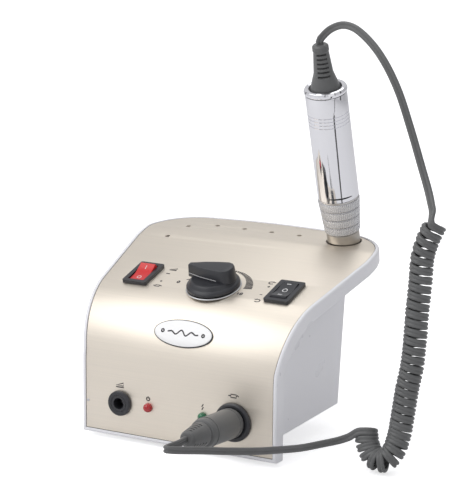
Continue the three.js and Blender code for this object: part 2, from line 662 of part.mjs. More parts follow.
function addHousing() {
  const shell = taperedBox(0, HOUSING_BOTTOM_Z, 120, 2);
  const cavity = taperedBox(WALL, HOUSING_BOTTOM_Z - 2, 125, -6);
  const front = plate([[30, 60], [30, -FLOOR_DEPTH - GAP]]);
  const rear = plate([[30, 60], [30, -BEZEL_DEPTH - GAP]]).intersect(block(-130, 130, RECESS_REAR - GAP, 220, -10, 260));
  const bosses = SCREWS.map(([x, y]) => placed(cut(rod(3.6, 18, 34, 10), rod(1.7, 16, 29, 8)),
    new THREE.Matrix4().makeTranslation(x, y, 0)));
  const webs = SCREWS.map(([x, y]) => block(Math.min(x * 1.04, x * 1.09), Math.max(x * 1.04, x * 1.09), y - 1, y + 1, 18, 34));
  const rearWall = onRearWall(0, 0);
  const openings = [
    placed(block(-13.9, 13.9, -10.4, 10.4, -9, 6), onRearWall(...INLET)),
    placed(rod(6.4, -9, 6, 16), onRearWall(...FUSE)),
  ];
  for (let i = 0; i < 7; i += 1) {
    openings.push(placed(block(-1.1, 1.1, -9, 9, -9, 6), onRearWall(-18 + 6 * i, 68)));
  }
  const body = cut(join(cut(shell, cavity), ...bosses, ...webs), front, rear, ...openings);
  piece('rear_housing', body, WHITE_GLOSS);
}

function addBase() {
  const flange = block(-57.0, 57.0, 5.2, 88.4, 14.6, 16.6);
  const socketNotch = block(23.6, 49.8, 2, 18.6, 10, 20);
  const corner = block(50.5, 60, 82, 90, 10, 20);
  const corners = [corner, placed(corner, new THREE.Matrix4().makeTranslation(-110.5, 0, 0))];
  const pedestal = block(-30, 30, 19.2, 82, 2.9, 15);
  const hollow = block(-27.5, 27.5, 21.7, 79.5, 5.4, 30);
  const holes = SCREWS.map(([x, y]) => placed(rod(1.9, 10, 20, 10), new THREE.Matrix4().makeTranslation(x, y, 0)));
  const posts = [[14, 26, 4], [44, 26, 15.5], [14, 66, 4], [44, 66, 15.5]].map(([x, y, foot]) => placed(
    rod(2.4, foot, 27.7, 8), new THREE.Matrix4().makeTranslation(x, y, 0)));
  const body = join(cut(join(flange, pedestal), hollow, socketNotch, ...corners, ...holes), ...posts);
  piece('base_tray', body, WHITE_GLOSS);
  [[-23.5, 25.5], [23.5, 25.5], [-23.5, 75.5], [23.5, 75.5]].forEach(([x, y], i) => {
    const foot = turned([[0, 0], [4.8, 0], [5.5, 0.7], [5.5, 2.6], [0, 2.6]], 16);
    piece(`rubber_foot_${i + 1}`, foot, BLACK_MATTE, new THREE.Matrix4().makeTranslation(x, y, 0));
  });
  SCREWS.forEach(([x, y], i) => {
    const screw = join(turned([[0, 13.0], [2.0, 13.2], [3.1, 14.0], [3.1, 14.6], [0, 14.6]], 12), rod(1.4, 14.3, 28, 8));
    piece(`housing_screw_${i + 1}`, screw, STEEL, new THREE.Matrix4().makeTranslation(x, y, 0));
  });
}

function addElectrics() {
  const at = new THREE.Matrix4().makeTranslation(-27, 44, 16.9);
  const core = cut(block(-24, 24, -13, 13, 0, 40), block(-16, -8, -20, 20, 8, 32), block(8, 16, -20, 20, 8, 32));
  piece('transformer_core', core, STEEL, at);
  const coil = cut(roundedBlock(15.6, 20, 3, 8.4, 31.6), block(-8.3, 8.3, -13.3, 13.3, 0, 40));
  piece('transformer_coil', coil, COPPER, at);
  piece('control_board', block(8, 49, 20, 72, 28, 29.6), BOARD);
  piece('filter_capacitor', rod(8, 29.9, 52, 20), BLACK_MATTE, new THREE.Matrix4().makeTranslation(22, 34, 0));
  const fins = [block(-12, 12, -1.5, 1.5, 0, 24)];
  for (let i = 0; i < 5; i += 1) fins.push(block(-11.2 + 5.3 * i, -10 + 5.3 * i, -7, 7, 0, 24));
  piece('heat_sink', join(...fins), STEEL, new THREE.Matrix4().makeTranslation(38, 56, 29.9));
}

function addRearSockets() {
  const flange = roundedBlock(16, 12.4, 2, 0.2, 2.2, 3);
  const pins = [[-5.5, 2.5], [0, -2.6], [5.5, 2.5]].map(([x, y]) => block(x - 1, x + 1, y - 2, y + 2, -13, -3.4));
  const inlet = join(cut(join(flange, block(-13.5, 13.5, -10, 10, -17, 1)), block(-11, 11, -7.4, 7.4, -12.5, 5)), ...pins);
  piece('mains_inlet', inlet, BLACK_MATTE, onRearWall(...INLET));
  const holder = cut(join(rod(6.0, -20, 1, 16), rod(8.2, 0.2, 2.0, 16)), rod(4.4, -18, 6, 16));
  piece('fuse_holder', holder, BLACK_MATTE, onRearWall(...FUSE));
  const cap = cut(join(rod(6.4, 2.3, 5.2, 16), rod(4.1, -9, 3, 12)), block(-5, 5, -0.6, 0.6, 4.2, 7));
  piece('fuse_cap', cap, BLACK_MATTE, onRearWall(...FUSE));
}

// ---------- curly cord ----------

const RELIEF_TIP = HANDPIECE_RELIEF + HANDPIECE_RELIEF_LENGTH + GAP;
const UPPER_START = new THREE.Vector3(0, 0, RELIEF_TIP).applyMatrix4(HANDPIECE);
const UPPER_NEXT = new THREE.Vector3(0, 0, RELIEF_TIP + 2).applyMatrix4(HANDPIECE);
const LOWER_NEXT = plugPoint(PLUG_RELIEF + PLUG_RELIEF_LENGTH + 3);
const LOWER_END = plugPoint(PLUG_RELIEF + PLUG_RELIEF_LENGTH + GAP);

const COIL_PATH = [
  [139.3, 41.5, 140], [136, 40, 131.5], [133.6, 39, 122.5], [132.7, 38, 105.7], [132.1, 36, 90.2], [132.1, 34, 75.9],
  [131.3, 32.5, 61.3], [129.2, 31, 47.6], [128, 29, 34.1], [126.7, 27, 21.7], [124.6, 24, 12.9], [120.1, 22, 7.9],
  [113.5, 23, 8.5], [108.8, 25, 14.2], [106.5, 27, 21.4],
];

function addCord() {
  const upper = [
    UPPER_START.toArray(), UPPER_NEXT.toArray(), [52.2, 77, 233.4], [55.5, 76, 236.3], [59.6, 75, 238.8], [66.7, 73, 241], [75.6, 70, 240],
    [86.5, 67, 233.6], [96.6, 64, 223.9], [106.8, 61, 208.9], [116.9, 57, 188.1], [125.6, 52, 170.1],
    [132.9, 47, 156.7], [137.9, 43.2, 147.5], [139.9, 41.8, 141.8],
  ];
  piece('cord_upper_lead', tubeAlong(upper, CORD_RADIUS, 36, 8), GREY_RUBBER);
  piece('cord_coil', tubeAlong(COIL_PATH, COIL_RADIUS, 40, 12), GREY_RUBBER);
  const lower = [
    [99.6, 20.2, 18.6], [95.3, 17, 17.2], [89, 8, 16.6], [81.6, -5, 16.7], [73.8, -15, 17.3], [66.5, -26, 18.6],
    [56.5, -42, 21.6], [48.5, -55, 24.5], [42.5, -66, 26.8], [39, -71.5, 28], [36, -73.2, 28.4], [34.6, -70.5, 27.9],
    [35.4, -66, 28], [36.5, -59, 27.9], LOWER_NEXT.toArray(), LOWER_END.toArray(),
  ];
  piece('cord_lower_lead', tubeAlong(lower, CORD_RADIUS, 48, 8), GREY_RUBBER);
}

addFrontBezel();
addFaceplate();
addBadge();
addRearCover();
addBitBlock();
addSwitches();
addKnob();
addFootJack();
addLamps();
addOutputSocket();
addWell();
addHousing();
addBase();
addElectrics();
addRearSockets();
addHandpiece();
addPlug();
addCord();

// The origin is the middle of the console's footprint: the cord and its plug are left out of it.
const LOOSE = ['cord_upper_lead', 'cord_coil', 'cord_lower_lead', 'plug_shell', 'plug_pin', 'plug_strain_relief'];
const footprint = new THREE.Box3();
for (const mesh of nailDrill.children) {
  if (!LOOSE.includes(mesh.name)) footprint.expandByObject(mesh);
}
const middle = footprint.getCenter(new THREE.Vector3());
nailDrill.children.forEach((mesh) => mesh.geometry.translate(0, -middle.y, 0));

export default nailDrill;
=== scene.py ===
"""Desktop electric nail drill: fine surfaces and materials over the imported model."""
import json
import math

import bmesh
import bpy
from mathutils import Matrix, Vector
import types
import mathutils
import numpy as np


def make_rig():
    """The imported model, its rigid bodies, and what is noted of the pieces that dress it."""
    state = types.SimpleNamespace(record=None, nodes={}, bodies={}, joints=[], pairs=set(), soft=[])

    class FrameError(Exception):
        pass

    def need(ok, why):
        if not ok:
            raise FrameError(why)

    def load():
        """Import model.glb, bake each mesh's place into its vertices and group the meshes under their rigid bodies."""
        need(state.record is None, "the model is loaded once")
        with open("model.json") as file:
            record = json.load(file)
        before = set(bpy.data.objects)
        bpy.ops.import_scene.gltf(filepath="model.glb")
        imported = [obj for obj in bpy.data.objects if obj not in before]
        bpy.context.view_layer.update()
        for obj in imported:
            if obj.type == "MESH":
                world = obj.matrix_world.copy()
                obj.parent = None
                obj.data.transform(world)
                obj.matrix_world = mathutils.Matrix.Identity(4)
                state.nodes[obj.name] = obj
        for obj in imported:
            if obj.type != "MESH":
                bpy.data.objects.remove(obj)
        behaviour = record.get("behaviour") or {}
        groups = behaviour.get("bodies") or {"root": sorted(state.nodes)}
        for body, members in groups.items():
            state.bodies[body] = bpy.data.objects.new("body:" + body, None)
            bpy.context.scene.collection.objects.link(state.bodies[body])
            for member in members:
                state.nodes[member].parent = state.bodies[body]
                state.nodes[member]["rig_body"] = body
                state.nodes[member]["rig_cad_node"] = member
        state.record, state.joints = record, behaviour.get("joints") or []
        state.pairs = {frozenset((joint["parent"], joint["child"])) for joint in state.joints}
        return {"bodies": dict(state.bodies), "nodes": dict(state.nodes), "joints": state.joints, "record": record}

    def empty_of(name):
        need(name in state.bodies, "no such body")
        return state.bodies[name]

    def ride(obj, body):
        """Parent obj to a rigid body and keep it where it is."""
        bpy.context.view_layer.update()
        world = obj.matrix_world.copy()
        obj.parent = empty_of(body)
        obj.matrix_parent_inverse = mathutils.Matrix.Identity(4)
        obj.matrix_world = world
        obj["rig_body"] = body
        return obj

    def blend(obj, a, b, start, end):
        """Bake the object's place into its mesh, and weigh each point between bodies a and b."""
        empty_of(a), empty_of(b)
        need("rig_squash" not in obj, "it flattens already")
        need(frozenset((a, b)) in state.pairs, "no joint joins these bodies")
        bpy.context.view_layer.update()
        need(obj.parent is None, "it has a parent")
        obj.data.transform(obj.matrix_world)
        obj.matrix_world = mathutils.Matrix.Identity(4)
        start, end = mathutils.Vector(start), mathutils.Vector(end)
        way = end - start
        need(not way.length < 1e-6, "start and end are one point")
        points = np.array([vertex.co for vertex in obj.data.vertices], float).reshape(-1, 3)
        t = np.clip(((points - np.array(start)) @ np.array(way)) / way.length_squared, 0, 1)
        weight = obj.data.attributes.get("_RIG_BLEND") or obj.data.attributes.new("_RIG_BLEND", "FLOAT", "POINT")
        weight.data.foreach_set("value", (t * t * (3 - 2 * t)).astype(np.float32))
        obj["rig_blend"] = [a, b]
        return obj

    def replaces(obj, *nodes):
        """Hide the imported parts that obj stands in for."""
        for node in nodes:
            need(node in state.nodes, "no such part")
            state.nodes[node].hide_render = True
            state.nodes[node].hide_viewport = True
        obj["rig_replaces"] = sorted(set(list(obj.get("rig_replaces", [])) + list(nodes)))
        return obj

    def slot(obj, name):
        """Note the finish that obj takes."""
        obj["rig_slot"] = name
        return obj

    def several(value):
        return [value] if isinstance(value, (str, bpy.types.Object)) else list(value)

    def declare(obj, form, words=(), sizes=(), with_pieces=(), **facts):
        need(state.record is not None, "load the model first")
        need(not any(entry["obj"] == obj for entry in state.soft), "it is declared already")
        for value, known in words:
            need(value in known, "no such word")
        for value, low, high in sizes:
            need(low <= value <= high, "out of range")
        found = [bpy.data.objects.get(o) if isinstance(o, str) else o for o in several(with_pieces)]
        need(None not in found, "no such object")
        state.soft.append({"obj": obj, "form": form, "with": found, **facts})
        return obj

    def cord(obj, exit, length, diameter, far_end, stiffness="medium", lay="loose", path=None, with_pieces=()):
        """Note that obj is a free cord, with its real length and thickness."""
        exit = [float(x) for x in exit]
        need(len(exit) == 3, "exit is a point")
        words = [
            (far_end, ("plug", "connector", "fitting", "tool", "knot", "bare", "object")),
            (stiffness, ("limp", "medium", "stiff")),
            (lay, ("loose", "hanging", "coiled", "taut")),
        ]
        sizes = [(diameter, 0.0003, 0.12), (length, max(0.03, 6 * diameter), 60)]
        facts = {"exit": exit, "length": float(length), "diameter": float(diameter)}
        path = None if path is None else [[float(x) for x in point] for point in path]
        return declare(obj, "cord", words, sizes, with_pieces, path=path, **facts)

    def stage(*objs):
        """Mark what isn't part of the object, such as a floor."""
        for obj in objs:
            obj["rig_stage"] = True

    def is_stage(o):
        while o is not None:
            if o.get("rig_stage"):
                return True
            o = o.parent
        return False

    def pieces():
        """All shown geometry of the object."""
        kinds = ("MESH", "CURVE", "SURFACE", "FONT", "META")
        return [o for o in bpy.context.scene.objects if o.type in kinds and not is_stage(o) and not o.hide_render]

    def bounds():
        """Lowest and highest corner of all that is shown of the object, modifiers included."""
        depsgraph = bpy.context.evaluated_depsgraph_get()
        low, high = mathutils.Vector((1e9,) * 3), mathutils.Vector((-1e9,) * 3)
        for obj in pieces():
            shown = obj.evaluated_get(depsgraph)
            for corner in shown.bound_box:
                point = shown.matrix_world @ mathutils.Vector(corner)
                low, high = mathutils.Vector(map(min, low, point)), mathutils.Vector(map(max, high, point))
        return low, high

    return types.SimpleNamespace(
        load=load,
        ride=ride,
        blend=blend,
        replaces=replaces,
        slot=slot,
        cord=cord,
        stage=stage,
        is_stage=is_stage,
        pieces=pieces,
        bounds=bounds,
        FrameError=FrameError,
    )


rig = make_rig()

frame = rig.load()
cad_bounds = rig.bounds()

MM = 0.001
RAD = math.pi / 180

# The faceplate surface, as in part.mjs. s runs along it from its lower edge, in millimetres.
Y_SHIFT = -63.374
PLATE_BOTTOM_Z = 5.5
FRONT_LEAN = 1.0 * RAD
FRONT_LENGTH = 40.5
BEND_RADIUS = 44.2
DESK_SLOPE = 15.4 * RAD
DESK_LENGTH = 64.6
CREASE_RADIUS = 30.0
REAR_SLOPE = 5.0 * RAD
BOTTOM_HALF = 61.5
REAR_HALF = 76.3
FLARE_START = 48.0
FLARE_RATE = 0.142
CORNER_START = 158.5
CORNER_RADIUS = 32.0
REAR_BOW = 2.8
LIP = 2.6

POWER_SWITCH = (-46.2, 105.2)
DIRECTION_SWITCH = (47.4, 105.6)
KNOB = (3.0, 102.0)
FOOT_JACK = (-38.2, 17.8)
LED_ON = (-19.3, 17.8)
LED_POWER = (16.7, 17.8)
LAMP_RADIUS = 2.7
OUTPUT = (36.7, 17.8)
BADGE = (0.5, 64.0)
WELL = (50.0, 178.2)
WELL_RADIUS = 10.7
HANDPIECE_TILT = 15.6 * RAD
KNOB_REST = 182 * RAD
ROCKER_THROW = 12 * RAD
ROCKER_PIVOT = -1.5
ROCKER_REACH = 8.8
PLUG_TILT = 4 * RAD
BIT_HOLES = [(-57.5, 153.7), (-52.4, 170.7), (-35.8, 177.8), (-17.1, 178.0), (1.6, 178.0), (20.3, 178.0)]
BIT_HOLE_RADIUS = 1.5

# Housing behind the plate: (bottom, top) values taper between its two heights.
HOUSING_BOTTOM_Z = 14.5
HOUSING_TOP_Z = 92.5
HOUSING_HALF = (59.6, 62.3)
HOUSING_REAR = (91.5, 96.0)
WALL = 2.5
REAR_LEAN = math.atan2(HOUSING_REAR[1] - HOUSING_REAR[0], HOUSING_TOP_Z - HOUSING_BOTTOM_Z)
INLET = (30, 38)
FUSE = (-34, 38)
FEET = [(-23.5, 25.5), (23.5, 25.5), (-23.5, 75.5), (23.5, 75.5)]

# Handpiece and plug, along their own axes.
BARREL_RADIUS = 12.2
SLIT_HEIGHT = 33.3
SLIT_AIM = -56 * RAD
SLIT_HALF_ANGLE = 36
GROOVE_START = 78.6
GROOVE_PITCH = 2.05
GROOVE_COUNT = 4
RELIEF_BASE = 99.4
RELIEF_TOP = RELIEF_BASE + 26.5
PLUG_BASE = 3.7
PLUG_RELIEF_BASE = PLUG_BASE + 33.3
PLUG_RELIEF_TOP = PLUG_RELIEF_BASE + 16.0

# Speed scale round the knob, in degrees and millimetres.
SCALE_TICKS = 17
SCALE_START = 80
SCALE_END = 10
SCALE_OUTER = 23.2
SCALE_GROWTH = 4.0

# Cord: flat twin lead, coiled between its two straight ends.
CORD_WIDTH = 4.4
STRAND_RADIUS = 1.13
STRAND_OFFSET = 1.08
HELIX_RADIUS = 5.7
CORD_LENGTH = 1.49
COIL_PITCH_TOP = 5.2
COIL_PITCH_END = 4.45
COIL_START_ANGLE = -0.2
EASE_POINTS = 16
TURN_STEPS = 24
UPPER_ROUTE = [
    (52.2, 77, 233.4), (55.5, 76, 236.3), (59.6, 75, 238.8), (66.7, 73, 241), (75.6, 70, 240),
    (86.5, 67, 233.6), (96.6, 64, 223.9), (106.8, 61, 208.9), (116.9, 57, 188.1), (125.6, 52, 170.1),
    (132.9, 46.5, 156.7), (137.7, 41, 148.6),
]
COIL_ROUTE = [
    (139.3, 41.5, 140), (136, 40, 131.5), (133.6, 39, 122.5), (132.7, 38, 105.7), (132.1, 36, 90.2),
    (132.1, 34, 75.9), (131.3, 32.5, 61.3), (129.2, 31, 47.6), (128, 29, 34.1), (126.7, 27, 21.7),
    (124.6, 24, 12.9), (120.1, 22, 7.9), (113.5, 23, 8.5), (108.8, 25, 14.2), (106.5, 27, 21.4),
]
LOWER_ROUTE = [
    (98.6, 19.6, 18.4), (95.3, 17, 17.2), (89, 8, 16.6), (81.6, -5, 16.7), (73.8, -15, 17.3),
    (66.5, -26, 18.6), (56.5, -42, 21.6), (48.5, -55, 24.5), (42.5, -66, 26.8), (39, -71.5, 28),
    (36, -73.2, 28.4), (34.6, -70.5, 27.9), (35.4, -66, 28), (36.5, -59, 27.9),
]

# Camera, and the room's brightness at fractions of a turn round the horizon.
CAMERA_PLACE = (0.610618, -1.098616, 0.401525)
CAMERA_RIGHT = Vector((0.87443757, 0.48513806, 0))
CAMERA_UP = Vector((-0.1110524, 0.2001665, 0.97344786))
CAMERA_LENS = 158.56
CAMERA_SHIFT = (0.00483, -0.00135)
SOFTBOXES = [
    ("key", (-0.9, -1.0, 1.5), (0, 0, 0.08), (2.0, 1.6), 16),
    ("fill", (1.3, -0.9, 0.8), (0, 0, 0.1), (1.0, 1.2), 1),
    ("top", (0.1, 0.5, 1.7), (0, 0, 0.05), (1.6, 1.2), 6),
]
FLOOR_HALF = 6.0
FLOOR_GLOW = 0.62
ROOM_END_TONE = (0.6, 0.6, 0.62)
ROOM_TONES = [
    (0.05, 0.7), (0.12, 0.75), (0.20, 0.72), (0.27, 0.66), (0.296, 0.62), (0.300, 0.1), (0.308, 0.1),
    (0.312, 0.66), (0.34, 0.62), (0.42, 0.58), (0.50, 0.55), (0.525, 0.66), (0.535, 0.08), (0.55, 0.08),
    (0.56, 0.5), (0.62, 0.42), (0.70, 0.5), (0.78, 0.6), (0.90, 0.66), (0.962, 0.6), (0.97, 0.08),
    (0.985, 0.08), (0.993, 0.6),
]


# ---------------------------------------------------------------- surface maths

BEND_ANGLE = math.pi / 2 - FRONT_LEAN - DESK_SLOPE
BEND_LENGTH = BEND_RADIUS * BEND_ANGLE
CREASE_ANGLE = DESK_SLOPE - REAR_SLOPE
CREASE_LENGTH = CREASE_RADIUS * CREASE_ANGLE
S_BEND = FRONT_LENGTH
S_DESK = S_BEND + BEND_LENGTH
S_CREASE = S_DESK + DESK_LENGTH
S_REAR = S_CREASE + CREASE_LENGTH
S_CORNER_END = CORNER_START + CORNER_RADIUS


def ahead(point, angle, length):
    return (point[0] + length * math.cos(angle), point[1] + length * math.sin(angle))


def arc_end(point, start_angle, turn, radius):
    centre = (point[0] + radius * math.sin(start_angle), point[1] - radius * math.cos(start_angle))
    angle = start_angle - turn
    return (centre[0] - radius * math.sin(angle), centre[1] + radius * math.cos(angle))


def surface_point(s):
    """(y, z, tangent angle) at distance s along the faceplate."""
    front = math.pi / 2 - FRONT_LEAN
    start = (Y_SHIFT, PLATE_BOTTOM_Z)
    if s <= S_BEND:
        return (*ahead(start, front, s), front)
    bend = ahead(start, front, FRONT_LENGTH)
    if s <= S_DESK:
        turn = (s - S_BEND) / BEND_RADIUS
        return (*arc_end(bend, front, turn, BEND_RADIUS), front - turn)
    desk = arc_end(bend, front, BEND_ANGLE, BEND_RADIUS)
    if s <= S_CREASE:
        return (*ahead(desk, DESK_SLOPE, s - S_DESK), DESK_SLOPE)
    crease = ahead(desk, DESK_SLOPE, DESK_LENGTH)
    if s <= S_REAR:
        turn = (s - S_CREASE) / CREASE_RADIUS
        return (*arc_end(crease, DESK_SLOPE, turn, CREASE_RADIUS), DESK_SLOPE - turn)
    rear = arc_end(crease, DESK_SLOPE, CREASE_ANGLE, CREASE_RADIUS)
    return (*ahead(rear, REAR_SLOPE, s - S_REAR), REAR_SLOPE)


def offset_point(x, s, depth):
    y, z, angle = surface_point(s)
    return Vector((x, y - math.sin(angle) * depth, z + math.cos(angle) * depth)) * MM


def half_width(s, grow):
    flare = max(0.0, s - FLARE_START)
    side = min(BOTTOM_HALF + FLARE_RATE * flare, REAR_HALF)
    if s <= CORNER_START:
        return side + grow
    centre = REAR_HALF - CORNER_RADIUS
    radius = CORNER_RADIUS + grow
    if s < CORNER_START + radius:
        return centre + math.sqrt(radius * radius - (s - CORNER_START) ** 2)
    along = (s - CORNER_START - radius) / REAR_BOW
    return centre * math.sqrt(max(0.0, 1 - along))


def stations(grow):
    """Distances along the surface at which the outline is sampled; always the same count."""
    out = [-grow] + [4.0 * i for i in range(1, 10)]
    out += [S_BEND + BEND_LENGTH * i / 36 for i in range(37)]
    out += [S_DESK + DESK_LENGTH * i / 12 for i in range(1, 12)]
    out += [S_CREASE + CREASE_LENGTH * i / 5 for i in range(6)]
    out += [CORNER_START + (CORNER_RADIUS + grow) * math.sin(i / 24 * math.pi / 2) for i in range(25)]
    out += [S_CORNER_END + grow + REAR_BOW * u for u in (0.12, 0.25, 0.4, 0.55, 0.7, 0.82, 0.91, 0.97, 0.995)]
    return sorted(out)


def on_plate(spot, depth=0.0):
    """Frame standing on the faceplate: local Z points out of it, local Y runs up it. Millimetres inside."""
    x, s = spot
    angle = surface_point(s)[2]
    out = Matrix.Identity(4)
    out.col[0][:3] = (MM, 0, 0)
    out.col[1][:3] = (0, math.cos(angle) * MM, math.sin(angle) * MM)
    out.col[2][:3] = (0, -math.sin(angle) * MM, math.cos(angle) * MM)
    out.col[3][:3] = offset_point(x, s, depth)
    return out


def turned(matrix, angle):
    return matrix @ Matrix.Rotation(angle, 4, "Z")


HANDPIECE = Matrix.Translation(offset_point(WELL[0], WELL[1], 0)) @ Matrix.Rotation(HANDPIECE_TILT, 4, "X")
HANDPIECE = HANDPIECE @ Matrix.Diagonal((MM, MM, MM, 1))
PLUG = on_plate(OUTPUT) @ Matrix.Rotation(-PLUG_TILT, 4, "X")


# ---------------------------------------------------------------- mesh helpers

def linked(name, data):
    obj = bpy.data.objects.new(name, data)
    bpy.context.scene.collection.objects.link(obj)
    return obj


def new_object(name, verts, faces, material, sharp=32, uvs=None):
    mesh = bpy.data.meshes.new(name)
    mesh.from_pydata([tuple(v) for v in verts], [], faces)
    if uvs:
        layer = mesh.uv_layers.new(name="UVMap")
        for polygon in mesh.polygons:
            for loop, uv in zip(polygon.loop_indices, uvs[polygon.index]):
                layer.data[loop].uv = uv
    mesh.validate()
    work = bmesh.new()
    work.from_mesh(mesh)
    bmesh.ops.recalc_face_normals(work, faces=work.faces)
    work.to_mesh(mesh)
    work.free()
    smooth(mesh, sharp)
    mesh.materials.append(material)
    return linked(name, mesh)


def smooth(mesh, sharp=32):
    mesh.polygons.foreach_set("use_smooth", [True] * len(mesh.polygons))
    mesh.set_sharp_from_angle(angle=sharp * RAD)


def fillet(profile, radius, steps=4, closed=False):
    """Round the corners of a polyline of (r, z) points."""
    count = len(profile)
    out = []
    for i, here in enumerate(profile):
        if not closed and i in (0, count - 1):
            out.append(tuple(here))
            continue
        p = Vector(here)
        a = Vector(profile[i - 1]) - p
        b = Vector(profile[(i + 1) % count]) - p
        if a.length < 1e-6 or b.length < 1e-6:
            out.append(tuple(here))
            continue
        angle = a.angle(b)
        if angle > 165 * RAD:
            out.append(tuple(here))
            continue
        reach = min(radius / math.tan(angle / 2), a.length * 0.45, b.length * 0.45)
        start = p + a.normalized() * reach
        end = p + b.normalized() * reach
        for k in range(steps + 1):
            t = k / steps
            out.append(tuple(start * (1 - t) ** 2 + p * 2 * t * (1 - t) + end * t ** 2))
    return out


def lathe(name, profile, matrix, material, segments=96, sharp=40, closed=False):
    """Solid of revolution about local Z. profile is (r, z) in millimetres."""
    points = [p for i,
              p in enumerate(profile) if i == 0 or (Vector(p) - Vector(profile[i - 1])).length > 1e-5]
    if closed:
        points.append(points[0])
    verts = []
    rows = []
    along = [0.0]
    for i in range(1, len(points)):
        along.append(along[-1] + (Vector(points[i]) - Vector(points[i - 1])).length)
    for r, z in (points[:-1] if closed else points):
        if r < 1e-6:
            rows.append([len(verts)] * segments)
            verts.append((0, 0, z))
            continue
        rows.append(list(range(len(verts), len(verts) + segments)))
        for k in range(segments):
            a = 2 * math.pi * k / segments
            verts.append((r * math.cos(a), r * math.sin(a), z))
    if closed:
        rows.append(rows[0])
    faces = []
    uvs = []
    for i in range(len(rows) - 1):
        for k in range(segments):
            n = (k + 1) % segments
            quad = [rows[i][k], rows[i][n], rows[i + 1][n], rows[i + 1][k]]
            u0, u1 = k / segments, (k + 1) / segments
            corner = [(u0, along[i]), (u1, along[i]), (u1, along[i + 1]), (u0, along[i + 1])]
            kept = [(v, c) for j, (v, c) in enumerate(zip(quad, corner)) if v != quad[j - 1]]
            if len(kept) > 2:
                faces.append([v for v, c in kept])
                uvs.append([c for v, c in kept])
    return new_object(name, [matrix @ Vector(v) for v in verts], faces, material, sharp, uvs)


def sheet_rings(outlines, caps=(True, True)):
    """Vertices and faces of a sheet lofted through rings of (x, s, left x) stations at a depth."""
    count = len(outlines[0][0])
    verts = []
    for outline, depth in outlines:
        verts += [offset_point(w, s, depth) for w, s, left in outline]
        verts += [offset_point(left, s, depth) for w, s, left in outline]
    loop = list(range(count)) + [count + k for k in reversed(range(count))]
    faces = []
    for ring, use in ((0, caps[0]), (len(outlines) - 1, caps[1])):
        base = ring * 2 * count
        if use:
            faces += [(base + k, base + k + 1, base + count + k + 1,
                       base + count + k) for k in range(count - 1)]
    for ring in range(len(outlines) - 1):
        near, far = ring * 2 * count, (ring + 1) * 2 * count
        for k, a in enumerate(loop):
            b = loop[(k + 1) % len(loop)]
            faces.append((near + a, far + a, far + b, near + b))
    return verts, faces


def plate_outline(grow, depth):
    return [(half_width(s, grow), s, -half_width(s, grow)) for s in stations(grow)], depth


def ring_faces(count, rings):
    """Quads between rings of count points each, one ring after another."""
    faces = []
    for base in range(0, (rings - 1) * count, count):
        for k in range(count):
            n = (k + 1) % count
            faces.append((base + k, base + n, base + count + n, base + count + k))
    return faces


def prism(name, outline, half_width_x, matrix, material, bevel=0.0, sharp=35):
    """Outline in the local Y-Z plane, extruded along local X."""
    work = bmesh.new()
    verts = [work.verts.new((-half_width_x, y, z)) for y, z in outline]
    face = work.faces.new(verts)
    moved = bmesh.ops.extrude_face_region(work, geom=[face])
    ends = [v for v in moved["geom"] if isinstance(v, bmesh.types.BMVert)]
    bmesh.ops.translate(work, verts=ends, vec=(2 * half_width_x, 0, 0))
    return bevelled(name, work, matrix, material, bevel, sharp)


def bevelled(name, work, matrix, material, bevel, sharp=35, limit=30, segments=3):
    bmesh.ops.recalc_face_normals(work, faces=work.faces)
    if bevel:
        edges = [e for e in work.edges if len(e.link_faces) == 2 and e.calc_face_angle() > limit * RAD]
        bmesh.ops.bevel(work, geom=edges, offset=bevel, segments=segments, profile=0.7, affect="EDGES",
                        clamp_overlap=True)
    bmesh.ops.transform(work, matrix=matrix, verts=work.verts)
    bmesh.ops.recalc_face_normals(work, faces=work.faces)
    mesh = bpy.data.meshes.new(name)
    work.to_mesh(mesh)
    work.free()
    smooth(mesh, sharp)
    mesh.materials.append(material)
    return linked(name, mesh)


def rounded_outline(half_x, half_y, radius, steps=6):
    out = []
    for cx, cy, start in ((1, 1, 0), (-1, 1, 90), (-1, -1, 180), (1, -1, 270)):
        for k in range(steps + 1):
            a = (start + 90 * k / steps) * RAD
            out.append((cx * (half_x - radius) + radius * math.cos(a),
                        cy * (half_y - radius) + radius * math.sin(a)))
    return out


def slab(name, outline, z0, z1, matrix, material, bevel=0.0, hole=None, sharp=35, limit=50):
    """Flat slab of an (x, y) outline between two heights, with an optional hole outline."""
    work = bmesh.new()
    outer = [work.verts.new((x, y, z0)) for x, y in outline]
    edges = [work.edges.new((outer[i], outer[(i + 1) % len(outer)])) for i in range(len(outer))]
    if hole:
        inner = [work.verts.new((x, y, z0)) for x, y in hole]
        edges += [work.edges.new((inner[i], inner[(i + 1) % len(inner)])) for i in range(len(inner))]
        bmesh.ops.triangle_fill(work, edges=edges, use_beauty=True)
    else:
        work.faces.new(outer)
    moved = bmesh.ops.extrude_face_region(work, geom=list(work.faces))
    ends = [v for v in moved["geom"] if isinstance(v, bmesh.types.BMVert)]
    bmesh.ops.translate(work, verts=ends, vec=(0, 0, z1 - z0))
    return bevelled(name, work, matrix, material, bevel, sharp, limit)


def cut_holes(obj, cutters):
    for cutter in cutters:
        modifier = obj.modifiers.new("cut", "BOOLEAN")
        modifier.operation = "DIFFERENCE"
        modifier.solver = "EXACT"
        modifier.object = cutter
    graph = bpy.context.evaluated_depsgraph_get()
    mesh = bpy.data.meshes.new_from_object(obj.evaluated_get(graph))
    obj.modifiers.clear()
    old = obj.data
    obj.data = mesh
    bpy.data.meshes.remove(old)
    for cutter in cutters:
        bpy.data.objects.remove(cutter)


